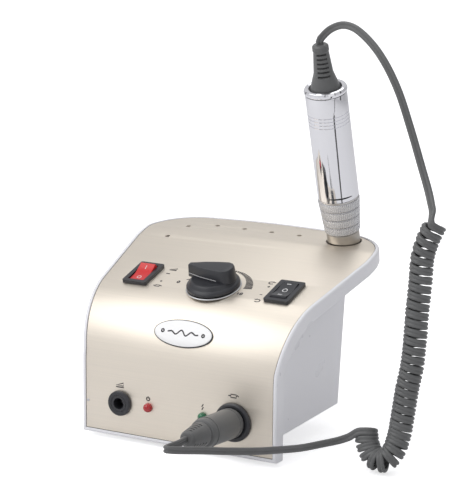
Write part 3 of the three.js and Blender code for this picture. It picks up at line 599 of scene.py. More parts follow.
def strokes(name, lines, width, lift, place, material):
    """Flat printed strokes. lines hold (x, y) points in mm in place's frame; each stroke is a thin ribbon."""
    verts = []
    faces = []
    for line in lines:
        closed = len(line) > 2 and line[0] == line[-1]
        points = [Vector(p) for p in line]
        base = len(verts)
        count = len(points)
        for i, p in enumerate(points):
            before = points[i - 1] if i else (points[-2] if closed else p)
            after = points[i + 1] if i < count - 1 else (points[1] if closed else p)
            along = (after - before).normalized()
            side = Vector((-along.y, along.x)) * width / 2
            for q, h in ((p + side, lift), (p - side, lift), (p - side, lift - 0.05),
                         (p + side, lift - 0.05)):
                verts.append(place(q.x, q.y, h))
        for i in range(count - 1):
            a = base + 4 * i
            faces += [tuple(a + v for v in quad) for quad in ring_faces(4, 2)]
        if not closed:
            a, b = base, base + 4 * (count - 1)
            faces += [(a, a + 1, a + 2, a + 3), (b + 3, b + 2, b + 1, b)]
    return new_object(name, verts, faces, material, 20)


def circle(cx, cy, rx, ry=None, start=0.0, end=360.0, steps=28):
    ry = rx if ry is None else ry
    out = []
    for k in range(steps + 1):
        a = (start + (end - start) * k / steps) * RAD
        out.append((cx + rx * math.cos(a), cy + ry * math.sin(a)))
    if abs(end - start - 360) < 1e-6:
        out[-1] = out[0]
    return out


def finish_piece(obj, body, slot, *nodes):
    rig.ride(obj, body)
    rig.slot(obj, slot)
    if nodes:
        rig.replaces(obj, *nodes)
    return obj


def turned_piece(name, profile, matrix, material, body, slot, *nodes, round_off=0.0, steps=4, segments=96,
                 closed=False):
    """A finished solid of revolution; round_off rounds its profile's corners."""
    if round_off:
        profile = fillet(profile, round_off, steps, closed)
    return finish_piece(lathe(name, profile, matrix, material, segments, 30, closed), body, slot, *nodes)


# ---------------------------------------------------------------- materials

def shader(name, color, roughness, metallic=0.0, **sockets):
    material = bpy.data.materials.new(name)
    material.use_nodes = True
    node = material.node_tree.nodes["Principled BSDF"]
    node.inputs["Base Color"].default_value = (*color, 1)
    node.inputs["Roughness"].default_value = roughness
    node.inputs["Metallic"].default_value = metallic
    for key, value in sockets.items():
        node.inputs[key.replace("_", " ")].default_value = value
    return material, material.node_tree, node


def add(tree, kind, **values):
    node = tree.nodes.new(kind)
    for key, value in values.items():
        if key in node.inputs:
            node.inputs[key].default_value = value
        else:
            setattr(node, key, value)
    return node


def combine(tree, operation, *values):
    """A maths node fed with numbers or with other nodes' outputs."""
    node = add(tree, "ShaderNodeMath", operation=operation)
    for socket, value in zip(node.inputs, values):
        if isinstance(value, (int, float)):
            socket.default_value = value
        else:
            tree.links.new(value, socket)
    return node.outputs[0]


def coordinates(tree, source="Object", stretch=(1, 1, 1)):
    texture = add(tree, "ShaderNodeTexCoord")
    mapping = add(tree, "ShaderNodeMapping")
    mapping.inputs["Scale"].default_value = stretch
    tree.links.new(texture.outputs[source], mapping.inputs["Vector"])
    return mapping.outputs["Vector"]


def noise(tree, vector, scale, detail=4.0, roughness=0.55):
    node = add(tree, "ShaderNodeTexNoise", Scale=scale, Detail=detail, Roughness=roughness)
    tree.links.new(vector, node.inputs["Vector"])
    return node.outputs["Fac"]


def spread(tree, value, low, high, start=0.0, end=1.0):
    node = add(tree, "ShaderNodeMapRange")
    node.inputs["From Min"].default_value = start
    node.inputs["From Max"].default_value = end
    node.inputs["To Min"].default_value = low
    node.inputs["To Max"].default_value = high
    tree.links.new(value, node.inputs["Value"])
    return node.outputs["Result"]


def tint(tree, value, dark, light):
    node = add(tree, "ShaderNodeMix", data_type="RGBA")
    node.inputs[6].default_value = (*dark, 1)
    node.inputs[7].default_value = (*light, 1)
    tree.links.new(value, node.inputs[0])
    return node.outputs[2]


def bump(tree, shader_node, value, strength, distance):
    node = add(tree, "ShaderNodeBump", Strength=strength, Distance=distance)
    tree.links.new(value, node.inputs["Height"])
    tree.links.new(node.outputs["Normal"], shader_node.inputs["Normal"])


def shades(color, low, high):
    return tuple(c * low for c in color), tuple(min(1.0, c * high) for c in color)


def moulded(name, color, roughness, grain=0.00002, scale=900.0, change=0.04, coat=0.0):
    """Moulded plastic: fine grain, slight colour and gloss change."""
    material, tree, node = shader(name, color, roughness, Coat_Weight=coat, Coat_Roughness=0.12)
    where = coordinates(tree)
    fine = noise(tree, where, scale, 3.0)
    broad = noise(tree, where, 35.0, 3.0)
    tree.links.new(tint(tree, broad, *shades(color, 1 - change, 1 + change)), node.inputs["Base Color"])
    tree.links.new(spread(tree, broad, roughness * 0.85, roughness * 1.2), node.inputs["Roughness"])
    bump(tree, node, fine, 0.35, grain)
    return material


def brushed(name, color, roughness, stretch, change=0.05, grain=0.000012, scale=1.0):
    """Metal with straight brush lines; stretch is the noise frequency along each axis."""
    material, tree, node = shader(name, color, roughness, 1.0)
    where = coordinates(tree, stretch=stretch)
    lines = noise(tree, where, scale, 5.0, 0.6)
    broad = noise(tree, coordinates(tree), 22.0, 2.0)
    tree.links.new(tint(tree, lines, *shades(color, 1 - change, 1 + change)), node.inputs["Base Color"])
    mixed = combine(tree, "MULTIPLY_ADD", broad, 0.35, lines)
    gloss = spread(tree, mixed, roughness * 0.8, roughness * 1.25, 0.2, 1.15)
    tree.links.new(gloss, node.inputs["Roughness"])
    bump(tree, node, lines, 0.3, grain)
    return material


def polished(name, color, roughness):
    """Chrome plating: mirror with faint haze and ripple."""
    material, tree, node = shader(name, color, roughness, 1.0)
    where = coordinates(tree)
    haze = noise(tree, where, 160.0, 4.0)
    tree.links.new(spread(tree, haze, roughness * 0.6, roughness * 1.6), node.inputs["Roughness"])
    bump(tree, node, noise(tree, where, 60.0, 1.0), 0.1, 0.00003)
    return material


def knurled(name, color, roughness, around=96, pitch=1.1):
    """Diamond knurl on a turned piece, its colour darker in the valleys as painted shade: u runs round it once, v
    along it in millimetres.
    """
    material, tree, node = shader(name, color, roughness, 1.0)
    texture = add(tree, "ShaderNodeTexCoord")
    split = add(tree, "ShaderNodeSeparateXYZ")
    tree.links.new(texture.outputs["UV"], split.inputs[0])
    turns = combine(tree, "MULTIPLY", split.outputs["X"], around * math.pi)
    rise = combine(tree, "MULTIPLY", split.outputs["Y"], 2 * math.pi / pitch)
    waves = [combine(tree, "SINE", combine(tree, way, turns, rise)) for way in ("ADD", "SUBTRACT")]
    diamond = combine(tree, "MULTIPLY", *waves)
    peaks = spread(tree, diamond, 0, 1, -1, 1)
    # Colour darker in the knurl's valleys, lighter on its peaks: painted shade.
    tree.links.new(tint(tree, peaks, *shades(color, 0.62, 1.0)), node.inputs["Base Color"])
    bump(tree, node, diamond, 0.8, 0.00022)
    return material


def rubber(name, color, roughness):
    material, tree, node = shader(name, color, roughness, Specular_IOR_Level=0.4, Sheen_Weight=0.15,
                                  Sheen_Roughness=0.5)
    where = coordinates(tree)
    fine = noise(tree, where, 1500.0, 3.0)
    broad = noise(tree, where, 55.0, 4.0)
    tree.links.new(tint(tree, broad, *shades(color, 0.84, 1.13)), node.inputs["Base Color"])
    tree.links.new(spread(tree, broad, roughness * 0.85, roughness * 1.15), node.inputs["Roughness"])
    bump(tree, node, fine, 0.3, 0.00003)
    return material


def lens(name, color, roughness):
    """Tinted LED dome: clear outside, faintly mottled inside."""
    material, tree, node = shader(name, color, roughness, Transmission_Weight=0.35, IOR=1.5, Coat_Weight=0.6)
    where = coordinates(tree)
    mottle = noise(tree, where, 500.0, 2.0)
    tree.links.new(tint(tree, mottle, *shades(color, 0.6, 1.3)), node.inputs["Base Color"])
    return material


def wound(name, color, roughness, scale):
    """Enamelled wire in close turns, its colour darker in the grooves between turns as painted shade."""
    material, tree, node = shader(name, color, roughness, 0.7)
    wave = add(tree, "ShaderNodeTexWave", Scale=scale, Distortion=0.4)
    wave.bands_direction = "Z"
    tree.links.new(coordinates(tree), wave.inputs["Vector"])
    # Half as bright in the grooves between the turns: painted shade.
    dark = tuple(c * 0.5 for c in color)
    tree.links.new(tint(tree, wave.outputs["Fac"], dark, color), node.inputs["Base Color"])
    bump(tree, node, wave.outputs["Fac"], 0.6, 0.0002)
    return material


WHITE = moulded("white_gloss_plastic", (0.83, 0.83, 0.86), 0.28, grain=0.00001, change=0.015, coat=0.25)
PLATE = brushed("champagne_brushed_metal", (0.84, 0.775, 0.68), 0.44, (9, 1500, 1500), change=0.06)
ENAMEL = moulded("badge_enamel", (0.9, 0.9, 0.9), 0.22, grain=0.000005, change=0.01, coat=0.5)
BLACK = moulded("black_gloss_plastic", (0.028, 0.029, 0.034), 0.3, grain=0.00001, change=0.15)
MATTE = moulded("black_matte_plastic", (0.022, 0.022, 0.024), 0.55, grain=0.00004, change=0.2)
RED = moulded("red_plastic", (0.62, 0.018, 0.02), 0.28, grain=0.00001, change=0.08, coat=0.2)
RED_LENS = lens("red_lens", (0.65, 0.01, 0.02), 0.12)
GREEN_LENS = lens("green_lens", (0.01, 0.22, 0.09), 0.12)
PLATED = brushed("plated_steel", (0.62, 0.62, 0.63), 0.3, (220, 220, 900))
SINK = brushed("heat_sink_metal", (0.5, 0.51, 0.52), 0.42, (300, 300, 60))
CHROME = polished("chrome", (0.86, 0.86, 0.89), 0.045)
SATIN = brushed("satin_steel", (0.72, 0.70, 0.68), 0.27, (160, 160, 1800))
KNURL = knurled("knurled_steel", (0.88, 0.88, 0.9), 0.26, 60, 1.25)
# Darker, browner copy of the satin steel for the nose sleeve: painted reflection of the champagne plate.
NOSE = brushed("satin_steel_painted_plate_reflection", (0.47, 0.44, 0.40), 0.3, (160, 160, 1800))
GREY = rubber("grey_rubber", (0.12, 0.122, 0.122), 0.37)
FOOT = rubber("foot_rubber", (0.03, 0.03, 0.032), 0.75)
COPPER = wound("copper_winding", (0.55, 0.24, 0.11), 0.4, 350.0)
BOARD = moulded("board_laminate", (0.03, 0.2, 0.08), 0.45, grain=0.00004, scale=1400.0, change=0.12)
INK = moulded("panel_ink", (0.02, 0.016, 0.02), 0.5, change=0.1)
WHITE_INK = moulded("white_ink", (0.85, 0.85, 0.85), 0.45, change=0.03)

SLOT_MATERIALS = {
    "white_plastic": WHITE, "faceplate_metal": PLATE, "badge_enamel": ENAMEL, "black_plastic": BLACK,
    "red_plastic": RED, "red_lens": RED_LENS, "green_lens": GREEN_LENS, "black_matte_plastic": MATTE,
    "plated_steel": PLATED, "heat_sink_metal": SINK, "chrome": CHROME, "satin_steel": SATIN,
    "grey_rubber": GREY, "foot_rubber": FOOT, "copper_winding": COPPER, "board_laminate": BOARD,
}


def dress_cad_nodes():
    """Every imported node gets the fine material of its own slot."""
    for entry in frame["record"]["subparts"]:
        obj = frame["nodes"][entry["node"]]
        obj.data.materials.clear()
        obj.data.materials.append(SLOT_MATERIALS[entry["material_slot"]])


# ---------------------------------------------------------------- camera and light

def add_camera():
    camera = linked("camera", bpy.data.cameras.new("camera"))
    camera.data.sensor_fit = "AUTO"
    camera.data.sensor_width = 36
    camera.data.lens = CAMERA_LENS
    camera.data.shift_x, camera.data.shift_y = CAMERA_SHIFT
    turn = Matrix((CAMERA_RIGHT, CAMERA_UP, CAMERA_RIGHT.cross(CAMERA_UP))).transposed().to_4x4()
    camera.matrix_world = Matrix.Translation(CAMERA_PLACE) @ turn
    bpy.context.scene.camera = camera


def add_softbox(name, place, target, size, watts):
    light = bpy.data.lights.new(name, "AREA")
    light.shape = "RECTANGLE"
    light.size, light.size_y = size
    light.energy = watts
    obj = linked(name, light)
    obj.location = place
    obj.rotation_euler = (Vector(target) - Vector(place)).to_track_quat("-Z", "Y").to_euler()


def seen_by_camera(tree, usual, seen, output):
    """Give camera rays one shader and every other ray the usual one."""
    path = add(tree, "ShaderNodeLightPath")
    choose = add(tree, "ShaderNodeMixShader")
    tree.links.new(path.outputs["Is Camera Ray"], choose.inputs[0])
    tree.links.new(usual.outputs[0], choose.inputs[1])
    tree.links.new(seen.outputs[0], choose.inputs[2])
    tree.links.new(choose.outputs[0], tree.nodes[output].inputs["Surface"])


def add_room():
    """A room whose brightness changes round the horizon for the plated parts; white to the camera."""
    world = bpy.data.worlds.new("studio")
    bpy.context.scene.world = world
    world.use_nodes = True
    tree = world.node_tree
    sky = tree.nodes["Background"]
    texture = add(tree, "ShaderNodeTexCoord")
    split = add(tree, "ShaderNodeSeparateXYZ")
    tree.links.new(texture.outputs["Generated"], split.inputs[0])
    azimuth = combine(tree, "ARCTAN2", split.outputs["Y"], split.outputs["X"])
    ramp = add(tree, "ShaderNodeValToRGB")
    tree.links.new(spread(tree, azimuth, 0, 1, -math.pi, math.pi), ramp.inputs[0])
    walls = ramp.color_ramp
    for end, place in zip(walls.elements, (0.0, 1.0)):
        end.position = place
        end.color = (*ROOM_END_TONE, 1)
    for place, tone in ROOM_TONES:
        walls.elements.new(place).color = (tone, tone, tone * 1.02, 1)
    tree.links.new(ramp.outputs[0], sky.inputs["Color"])
    sky.inputs["Strength"].default_value = 1.0
    white = add(tree, "ShaderNodeBackground", Strength=1.0)
    white.inputs["Color"].default_value = (1, 1, 1, 1)
    seen_by_camera(tree, sky, white, "World Output")


def add_floor():
    """White sweep that looks brighter to the camera than the light it sends back."""
    mesh = bpy.data.meshes.new("floor")
    corners = [(-1, -1), (1, -1), (1, 1), (-1, 1)]
    mesh.from_pydata([(x * FLOOR_HALF, y * FLOOR_HALF, 0) for x, y in corners], [], [(0, 1, 2, 3)])
    floor = linked("floor", mesh)
    material, tree, node = shader("floor_white", (0.8, 0.8, 0.8), 0.8)
    broad = noise(tree, coordinates(tree), 3.0, 2.0)
    tree.links.new(tint(tree, broad, (0.78, 0.78, 0.79), (0.81, 0.81, 0.82)), node.inputs["Base Color"])
    glow = add(tree, "ShaderNodeEmission", Strength=FLOOR_GLOW)
    both = add(tree, "ShaderNodeAddShader")
    tree.links.new(node.outputs[0], both.inputs[0])
    tree.links.new(glow.outputs[0], both.inputs[1])
    seen_by_camera(tree, node, both, "Material Output")
    mesh.materials.append(material)
    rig.stage(floor)


def add_studio():
    bpy.context.scene.view_settings.view_transform = "Standard"
    add_room()
    for softbox in SOFTBOXES:
        add_softbox(*softbox)
    add_floor()


# ---------------------------------------------------------------- cord

def shifted(route):
    return [Vector((x, y + Y_SHIFT, z)) * MM for x, y, z in route]


def spline(points, gap):
    """Centripetal Catmull-Rom curve through the points, resampled at a fixed spacing."""
    ends = [points[0] * 2 - points[1]] + points + [points[-1] * 2 - points[-2]]
    dense = []
    for i in range(1, len(ends) - 2):
        p0, p1, p2, p3 = ends[i - 1:i + 3]
        t1 = (p1 - p0).length ** 0.5
        t2 = t1 + (p2 - p1).length ** 0.5
        t3 = t2 + (p3 - p2).length ** 0.5
        for k in range(24):
            t = t1 + (t2 - t1) * k / 24
            a1 = p0 * (t1 - t) / t1 + p1 * t / t1
            a2 = p1 * (t2 - t) / (t2 - t1) + p2 * (t - t1) / (t2 - t1)
            a3 = p2 * (t3 - t) / (t3 - t2) + p3 * (t - t2) / (t3 - t2)
            b1 = a1 * (t2 - t) / t2 + a2 * t / t2
            b2 = a2 * (t3 - t) / (t3 - t1) + a3 * (t - t1) / (t3 - t1)
            dense.append(b1 * (t2 - t) / (t2 - t1) + b2 * (t - t1) / (t2 - t1))
    dense.append(points[-1])
    return resample(dense, gap)


def resample(points, gap):
    lengths = [0.0]
    for a, b in zip(points, points[1:]):
        lengths.append(lengths[-1] + (b - a).length)
    count = max(2, round(lengths[-1] / gap))
    out = []
    i = 0
    for k in range(count + 1):
        want = lengths[-1] * k / count
        while i < len(points) - 2 and lengths[i + 1] < want:
            i += 1
        part = (want - lengths[i]) / max(1e-12, lengths[i + 1] - lengths[i])
        out.append(points[i].lerp(points[i + 1], min(1.0, part)))
    return out


def tangents(points):
    out = []
    for i in range(len(points)):
        a = points[max(0, i - 1)]
        b = points[min(len(points) - 1, i + 1)]
        out.append((b - a).normalized())
    return out


def carried(points, start):
    """A direction carried along the points without twisting."""
    along = tangents(points)
    here = (start - along[0] * start.dot(along[0])).normalized()
    out = [here]
    for a, b in zip(along, along[1:]):
        here = a.rotation_difference(b) @ here
        here = (here - b * here.dot(b)).normalized()
        out.append(here)
    return out


def coil_angles(core):
    """Angle round the core at each of its points, closer turns towards its end, which falls in front."""
    angles = [0.0]
    for i in range(1, len(core)):
        pitch = COIL_PITCH_TOP + (COIL_PITCH_END - COIL_PITCH_TOP) * i / len(core)
        angles.append(angles[-1] + (core[i] - core[i - 1]).length / (pitch * MM))
    turns = round(angles[-1])
    return [COIL_START_ANGLE - (2 * math.pi * turns + COIL_START_ANGLE) * a / angles[-1] for a in angles]


def coil_lines():
    """The curly stretch's centreline and its width directions."""
    core = spline(shifted(COIL_ROUTE), 0.0002)
    along = tangents(core)
    side = carried(core, Vector((0, -1, 0)))
    angles = coil_angles(core)
    points = []
    widths = []
    shown = 1000.0
    for i, centre in enumerate(core):
        if shown - angles[i] < 2 * math.pi / TURN_STEPS and i != len(core) - 1:
            continue
        shown = angles[i]
        other = along[i].cross(side[i])
        points.append(centre + (side[i] * math.cos(shown) + other * math.sin(shown)) * HELIX_RADIUS * MM)
        widths.append(along[i])
    del points[-2], widths[-2]
    return points, widths


def bridge(first, second):
    """Points of a smooth short curve from the end of one run to the start of the next."""
    a, b = first[-1], second[0]
    reach = (b - a).length
    out_way = (first[-1] - first[-3]).normalized() * reach
    in_way = (second[2] - second[0]).normalized() * reach
    steps = max(2, round(reach / 0.0015))
    points = []
    for k in range(1, steps):
        t = k / steps
        h1, h2 = 2 * t ** 3 - 3 * t ** 2 + 1, t ** 3 - 2 * t ** 2 + t
        h3, h4 = 3 * t ** 2 - 2 * t ** 3, t ** 3 - t ** 2
        points.append(a * h1 + out_way * h2 + b * h3 + in_way * h4)
    return points


def flat_to(points, facing, coil_width):
    """Width directions of a flat lead, easing out of the coil's own width at its first points."""
    widths = []
    previous = coil_width
    for i, along in enumerate(tangents(points)):
        flat = facing(along)
        if flat.dot(previous) < 0:
            flat.negate()
        ease = min(1.0, i / EASE_POINTS)
        ease = ease * ease * (3 - 2 * ease)
        width = coil_width * (1 - ease) + flat * ease
        previous = (width - along * width.dot(along)).normalized()
        widths.append(previous)
    return widths


def cord_lines():
    """Centreline of the whole cord and, for each point, the direction of its flat width."""
    tip = HANDPIECE @ Vector((0, 0, RELIEF_TOP))
    upper = spline([tip, HANDPIECE @ Vector((0, 0, RELIEF_TOP + 2.5))] + shifted(UPPER_ROUTE), 0.002)
    coil, coil_widths = coil_lines()
    end = PLUG @ Vector((0, 0, PLUG_RELIEF_TOP))
    lower = spline(shifted(LOWER_ROUTE) + [PLUG @ Vector((0, 0, PLUG_RELIEF_TOP + 3.2)), end], 0.002)
    before = upper + bridge(upper, coil)
    after = bridge(coil, lower) + lower
    forward = Vector((-0.47, 0.85, -0.23))
    back_widths = flat_to([coil[0]] + before[::-1], lambda along: along.cross(forward), coil_widths[0])
    on_widths = flat_to([coil[-1]] + after, lambda along: Vector((0, 0, 1)), coil_widths[-1])
    return before + coil + after, back_widths[:0:-1] + coil_widths + on_widths[1:]


def twin_section():
    """Outline of two strands side by side, as (across, thick) in millimetres."""
    meet = math.acos(-STRAND_OFFSET / STRAND_RADIUS)
    out = []
    for sign in (1, -1):
        for k in range(9):
            a = -meet + 2 * meet * (k + 0.35) / 8.7
            x = STRAND_OFFSET + STRAND_RADIUS * math.cos(a)
            out.append((sign * x, sign * STRAND_RADIUS * math.sin(a)))
    return out


def add_cord():
    line, widths = cord_lines()
    along = tangents(line)
    section = twin_section()
    count = len(section)
    verts = []
    for point, width, tangent in zip(line, widths, along):
        flat = (width - tangent * width.dot(tangent)).normalized()
        thick = tangent.cross(flat)
        verts += [point + (flat * x + thick * y) * MM for x, y in section]
    faces = ring_faces(count, len(line))
    faces.append(tuple(reversed(range(count))))
    faces.append(tuple((len(line) - 1) * count + k for k in range(count)))
    cord = new_object("curly_cord", verts, faces, GREY, sharp=60)
    coil = shifted(COIL_ROUTE)
    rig.blend(cord, "handpiece", "console", start=coil[0], end=coil[8])
    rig.replaces(cord, "cord_upper_lead", "cord_coil", "cord_lower_lead")
    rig.slot(cord, "grey_rubber")
    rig.cord(cord, exit=line[0], length=CORD_LENGTH, diameter=CORD_WIDTH * MM, far_end="object",
            stiffness="medium",
            lay="hanging", path=line, with_pieces=[bpy.data.objects["plug_body"],
                                                   bpy.data.objects["plug_relief"]])


# ---------------------------------------------------------------- plug and handpiece

def relief_sleeve(name, profile, matrix, slots, body, slot, node):
    obj = lathe(name, fillet(profile, 0.5, 3), matrix, GREY, 72, 30)
    cutters = []
    for half, inner, z, height in slots:
        for side in (1, -1):
            outline = rounded_outline(half, 6, 0.5, 3)
            moved = [(x, y * 0.5 + side * (inner + 3)) for x, y in outline]
            cutters.append(slab("slot_cutter", moved, z, z + height, matrix, GREY))
    joined_cutters = merge_objects(cutters)
    cut_holes(obj, [joined_cutters])
    smooth(obj.data, 30)
    return finish_piece(obj, body, slot, node)


def merge_objects(objects):
    work = bmesh.new()
    for obj in objects:
        work.from_mesh(obj.data)
    mesh = bpy.data.meshes.new("merged")
    work.to_mesh(mesh)
    work.free()
    out = linked("merged", mesh)
    for obj in objects:
        bpy.data.objects.remove(obj)
    return out


def add_plug():
    b = PLUG_BASE
    profile = [(0, b), (8.4, b), (8.7, b + 0.8), (8.5, b + 29.5), (7.9, b + 32.4), (6.4, b + 33), (0, b + 33)]
    turned_piece("plug_body", profile, PLUG, GREY, "console", "grey_rubber", "plug_shell", round_off=1.2,
                 steps=5)
    groove = [(8.45, 0), (8.95, 0), (8.95, 0.7), (8.45, 0.7)]
    for i, z in enumerate((b + 3.0, b + 27.5)):
        turned_piece(f"plug_band_{i + 1}", [(r - 0.12, h + z) for r, h in groove], PLUG, GREY, "console",
                     "grey_rubber", closed=True)
    r0 = PLUG_RELIEF_BASE - 0.2
    profile = [(0, r0), (6.9, r0), (6.8, r0 + 2.6), (4.8, r0 + 14.7), (4.0, r0 + 16.1), (2.4, r0 + 16.5),
               (0, r0 + 16.5)]
    slots = [(4.6 - 0.3 * i, 3.3 - 0.2 * i, r0 + 3.4 + 2.4 * i, 1.1) for i in range(5)]
    relief_sleeve("plug_relief", profile, turned(PLUG, 20 * RAD), slots, "console", "grey_rubber",
                  "plug_strain_relief")


def add_nose():
    profile = [(0.1, -17), (6.3, -17), (7.4, -19.2), (8.4, -19.9), (9.2, -18.4), (9.8, -12), (9.8, 7.6),
               (7.1, 7.6), (0.1, 7.6)]
    # The nose's darker brown tone is a painted reflection of the plate.
    turned_piece("nose_sleeve", profile, HANDPIECE, NOSE, "handpiece", "satin_steel", "handpiece_nose",
                 round_off=0.4, segments=128)


def add_barrel():
    """Plated tube with fine grooves near its top, its end ring, and a matte black ring in the gap where the cord's
    sleeve sits in the end ring: painted shade.
    """
    tube = [(0, 30.4), (11.9, 30.4), (BARREL_RADIUS, 30.8)]
    for i in range(GROOVE_COUNT):
        z = GROOVE_START + GROOVE_PITCH * i
        tube += [(BARREL_RADIUS, z - 0.35), (11.75, z - 0.15), (11.75, z + 0.15), (BARREL_RADIUS, z + 0.35)]
    tube += [(BARREL_RADIUS, 96.1), (12.0, 96.5), (0, 96.5)]
    turned_piece("barrel_tube", tube, HANDPIECE, CHROME, "handpiece", "chrome", "handpiece_tube",
                 segments=160)
    cap = [(0, 96.8), (12.1, 96.8), (12.6, 97.3), (12.7, 98.6), (12.1, 99.9), (10.9, 100.3), (9.8, 100.0),
           (9.5, 99.2), (9.5, 98.2), (0, 98.2)]
    turned_piece("barrel_end_ring", cap, HANDPIECE, CHROME, "handpiece", "chrome", "handpiece_end_cap",
                 round_off=0.5, steps=5, segments=160)
    # Matte black ring at the bottom of the end ring's recess: painted shade.
    recess_shade = [(8.5, 98.25), (9.45, 98.25), (9.45, 98.9), (8.5, 98.9)]
    turned_piece("relief_recess_painted_shade", recess_shade, HANDPIECE, MATTE, "handpiece", "black_matte_plastic", closed=True)


def add_spanner_slot_painted_shade():
    """Dark strip part of the way round the barrel, tapered to its ends: painted shade standing in for a slit."""
    verts = []
    for degrees in range(-SLIT_HALF_ANGLE, SLIT_HALF_ANGLE + 1, 3):
        angle = degrees * RAD
        half = 0.06 + 0.44 * max(0.0, math.cos(angle * 90 / SLIT_HALF_ANGLE)) ** 0.5
        around = angle + SLIT_AIM
        for r, h in ((12.24, half), (12.24, -half), (11.9, -half), (11.9, half)):
            verts.append(HANDPIECE @ Vector((r * math.cos(around), r * math.sin(around), SLIT_HEIGHT + h)))
    end = len(verts) - 4
    faces = ring_faces(4, len(verts) // 4) + [(0, 3, 2, 1), (end, end + 1, end + 2, end + 3)]
    # Matte black ribbon on the chrome: painted shade of a slit.
    finish_piece(new_object("spanner_slot_painted_shade", verts, faces, MATTE), "handpiece", "black_matte_plastic")


def add_cord_sleeve():
    r0 = RELIEF_BASE
    top = RELIEF_TOP + 0.3
    profile = [(0, r0 - 0.9), (8.5, r0 - 0.9), (8.5, r0 + 0.6), (8.2, r0 + 1.9), (5.7, r0 + 9.8),
               (4.5, top - 4.2), (4.85, top - 3.6), (4.75, top - 0.9), (3.8, top), (0, top)]
    slots = [(3.6 - 0.16 * i, 3.75 - 0.17 * i, r0 + 8.0 + 2.6 * i, 1.2) for i in range(6)]
    relief_sleeve("cord_sleeve", profile, turned(HANDPIECE, 29 * RAD), slots, "handpiece", "grey_rubber",
                  "handpiece_strain_relief")


def add_grip():
    """Twist grip: a core sleeve carrying four knurled bands that grow towards the barrel."""
    core = [(7.4, 7.9), (9.7, 7.9), (11.6, 30.1), (7.4, 30.1)]
    turned_piece("grip_core", core, HANDPIECE, SATIN, "twist_grip", "satin_steel", "handpiece_twist_grip",
                 segments=128, closed=True)
    for i in range(4):
        base = 10.1 + 0.5 * i
        z = 8.1 + 5.35 * i
        inner = base - 1.4
        profile = [(inner, z), (base + 0.1, z), (base + 0.5, z + 0.35), (base + 0.82, z + 4.4),
                   (base + 0.35, z + 4.95), (inner, z + 4.95)]
        turned_piece(f"grip_band_{i + 1}", profile, HANDPIECE, KNURL, "twist_grip", "satin_steel",
                     round_off=0.2, steps=3, segments=160, closed=True)


# ---------------------------------------------------------------- console

def rod_cutter(spot, radius, low=-12, high=6, segments=64, frame_matrix=None):
    matrix = frame_matrix if frame_matrix is not None else on_plate(spot)
    return lathe("cutter", [(0, low), (radius, low), (radius, high), (0, high)], matrix, WHITE, segments)


def panel_cutters(clearance):
    out = []
    for spot in (POWER_SWITCH, DIRECTION_SWITCH):
        outline = rounded_outline(6.8 + clearance, 10.2 + clearance, 0.5, 2)
        out.append(slab("cutter", outline, -9, 4, on_plate(spot), WHITE))
    out.append(rod_cutter(KNOB, 3.9 + clearance))
    out.append(rod_cutter(FOOT_JACK, 4.9 + clearance))
    out.append(rod_cutter(LED_ON, 2.75 + clearance))
    out.append(rod_cutter(LED_POWER, 2.75 + clearance))
    out.append(rod_cutter(OUTPUT, 9.1 + clearance))
    out += [rod_cutter(spot, BIT_HOLE_RADIUS, segments=32) for spot in BIT_HOLES]
    return out


def add_faceplate():
    rings = [plate_outline(g, d) for g, d in ((-0.35, 0.0), (-0.1, -0.1), (0, -0.35), (0, -1.2))]
    verts, faces = sheet_rings(rings)
    obj = new_object("face_panel", verts, faces, PLATE, 40)
    cut_holes(obj, [merge_objects(panel_cutters(0)), rod_cutter(WELL, WELL_RADIUS, -25, 12, 96, HANDPIECE)])
    smooth(obj.data, 40)
    finish_piece(obj, "console", "faceplate_metal", "faceplate")
    # Matte black strip in the gap between the plate's edge and the bezel: painted shadow.
    verts, faces = sheet_rings([plate_outline(0.27, -0.4), plate_outline(0.27, -1.1)])
    shadow_line = new_object("plate_edge_painted_shadow", verts, faces, MATTE, 40)
    verts, faces = sheet_rings([plate_outline(-0.05, 1), plate_outline(-0.05, -3)])
    cut_holes(shadow_line, [new_object("cutter", verts, faces, MATTE)])
    finish_piece(shadow_line, "console", "black_matte_plastic")


def add_bezel():
    g = LIP
    rings = [plate_outline(a, d) for a, d in (
        (0.3, -1.5), (0.3, 0.1), (0.5, 0.32), (0.9, 0.42), (g - 1.1, 0.3), (g - 0.5, 0.0), (g - 0.15,
                                                                                            -0.6), (g, -1.5),
        (g, -7.6), (g - 0.3, -8.5), (g - 1.0, -9.0), (-0.2, -9.0), (-0.2, -4.0))]
    verts, faces = sheet_rings(rings)
    obj = new_object("bezel_shell", verts, faces, WHITE, 35)
    cut_holes(obj, [merge_objects(panel_cutters(0.2)),
                    rod_cutter(WELL, WELL_RADIUS + 1.2, -25, 12, 96, HANDPIECE)])
    smooth(obj.data, 35)
    finish_piece(obj, "console", "white_plastic", "front_bezel")


def add_well():
    outer = WELL_RADIUS + 1
    cup = [(0, -21.8), (9.2, -21.8), (10.8, -20.9), (outer, -19), (outer, 4), (WELL_RADIUS, 4),
           (WELL_RADIUS, -20.4),
           (0, -20.4)]
    obj = lathe("well_cup", cup, HANDPIECE, WHITE, 128, 30)
    verts, faces = sheet_rings([plate_outline(20, 30), plate_outline(20, -1.3)])
    cut_holes(obj, [new_object("cutter", verts, faces, WHITE)])
    smooth(obj.data, 30)
    finish_piece(obj, "console", "white_plastic", "handpiece_well")


def badge_ring(grow_x, grow_y, depth, steps=72):
    points = []
    for k in range(steps):
        a = 2 * math.pi * k / steps
        points.append(offset_point(BADGE[0] + grow_x * math.cos(a), BADGE[1] + grow_y * math.sin(a), depth))
    return points


def stacked(name, rings, material, sharp=35):
    count = len(rings[0])
    verts = [p for ring in rings for p in ring]
    faces = [tuple(range(count)), tuple(reversed(range(len(verts) - count, len(verts))))]
    faces += ring_faces(count, len(rings))
    return new_object(name, verts, faces, material, sharp)


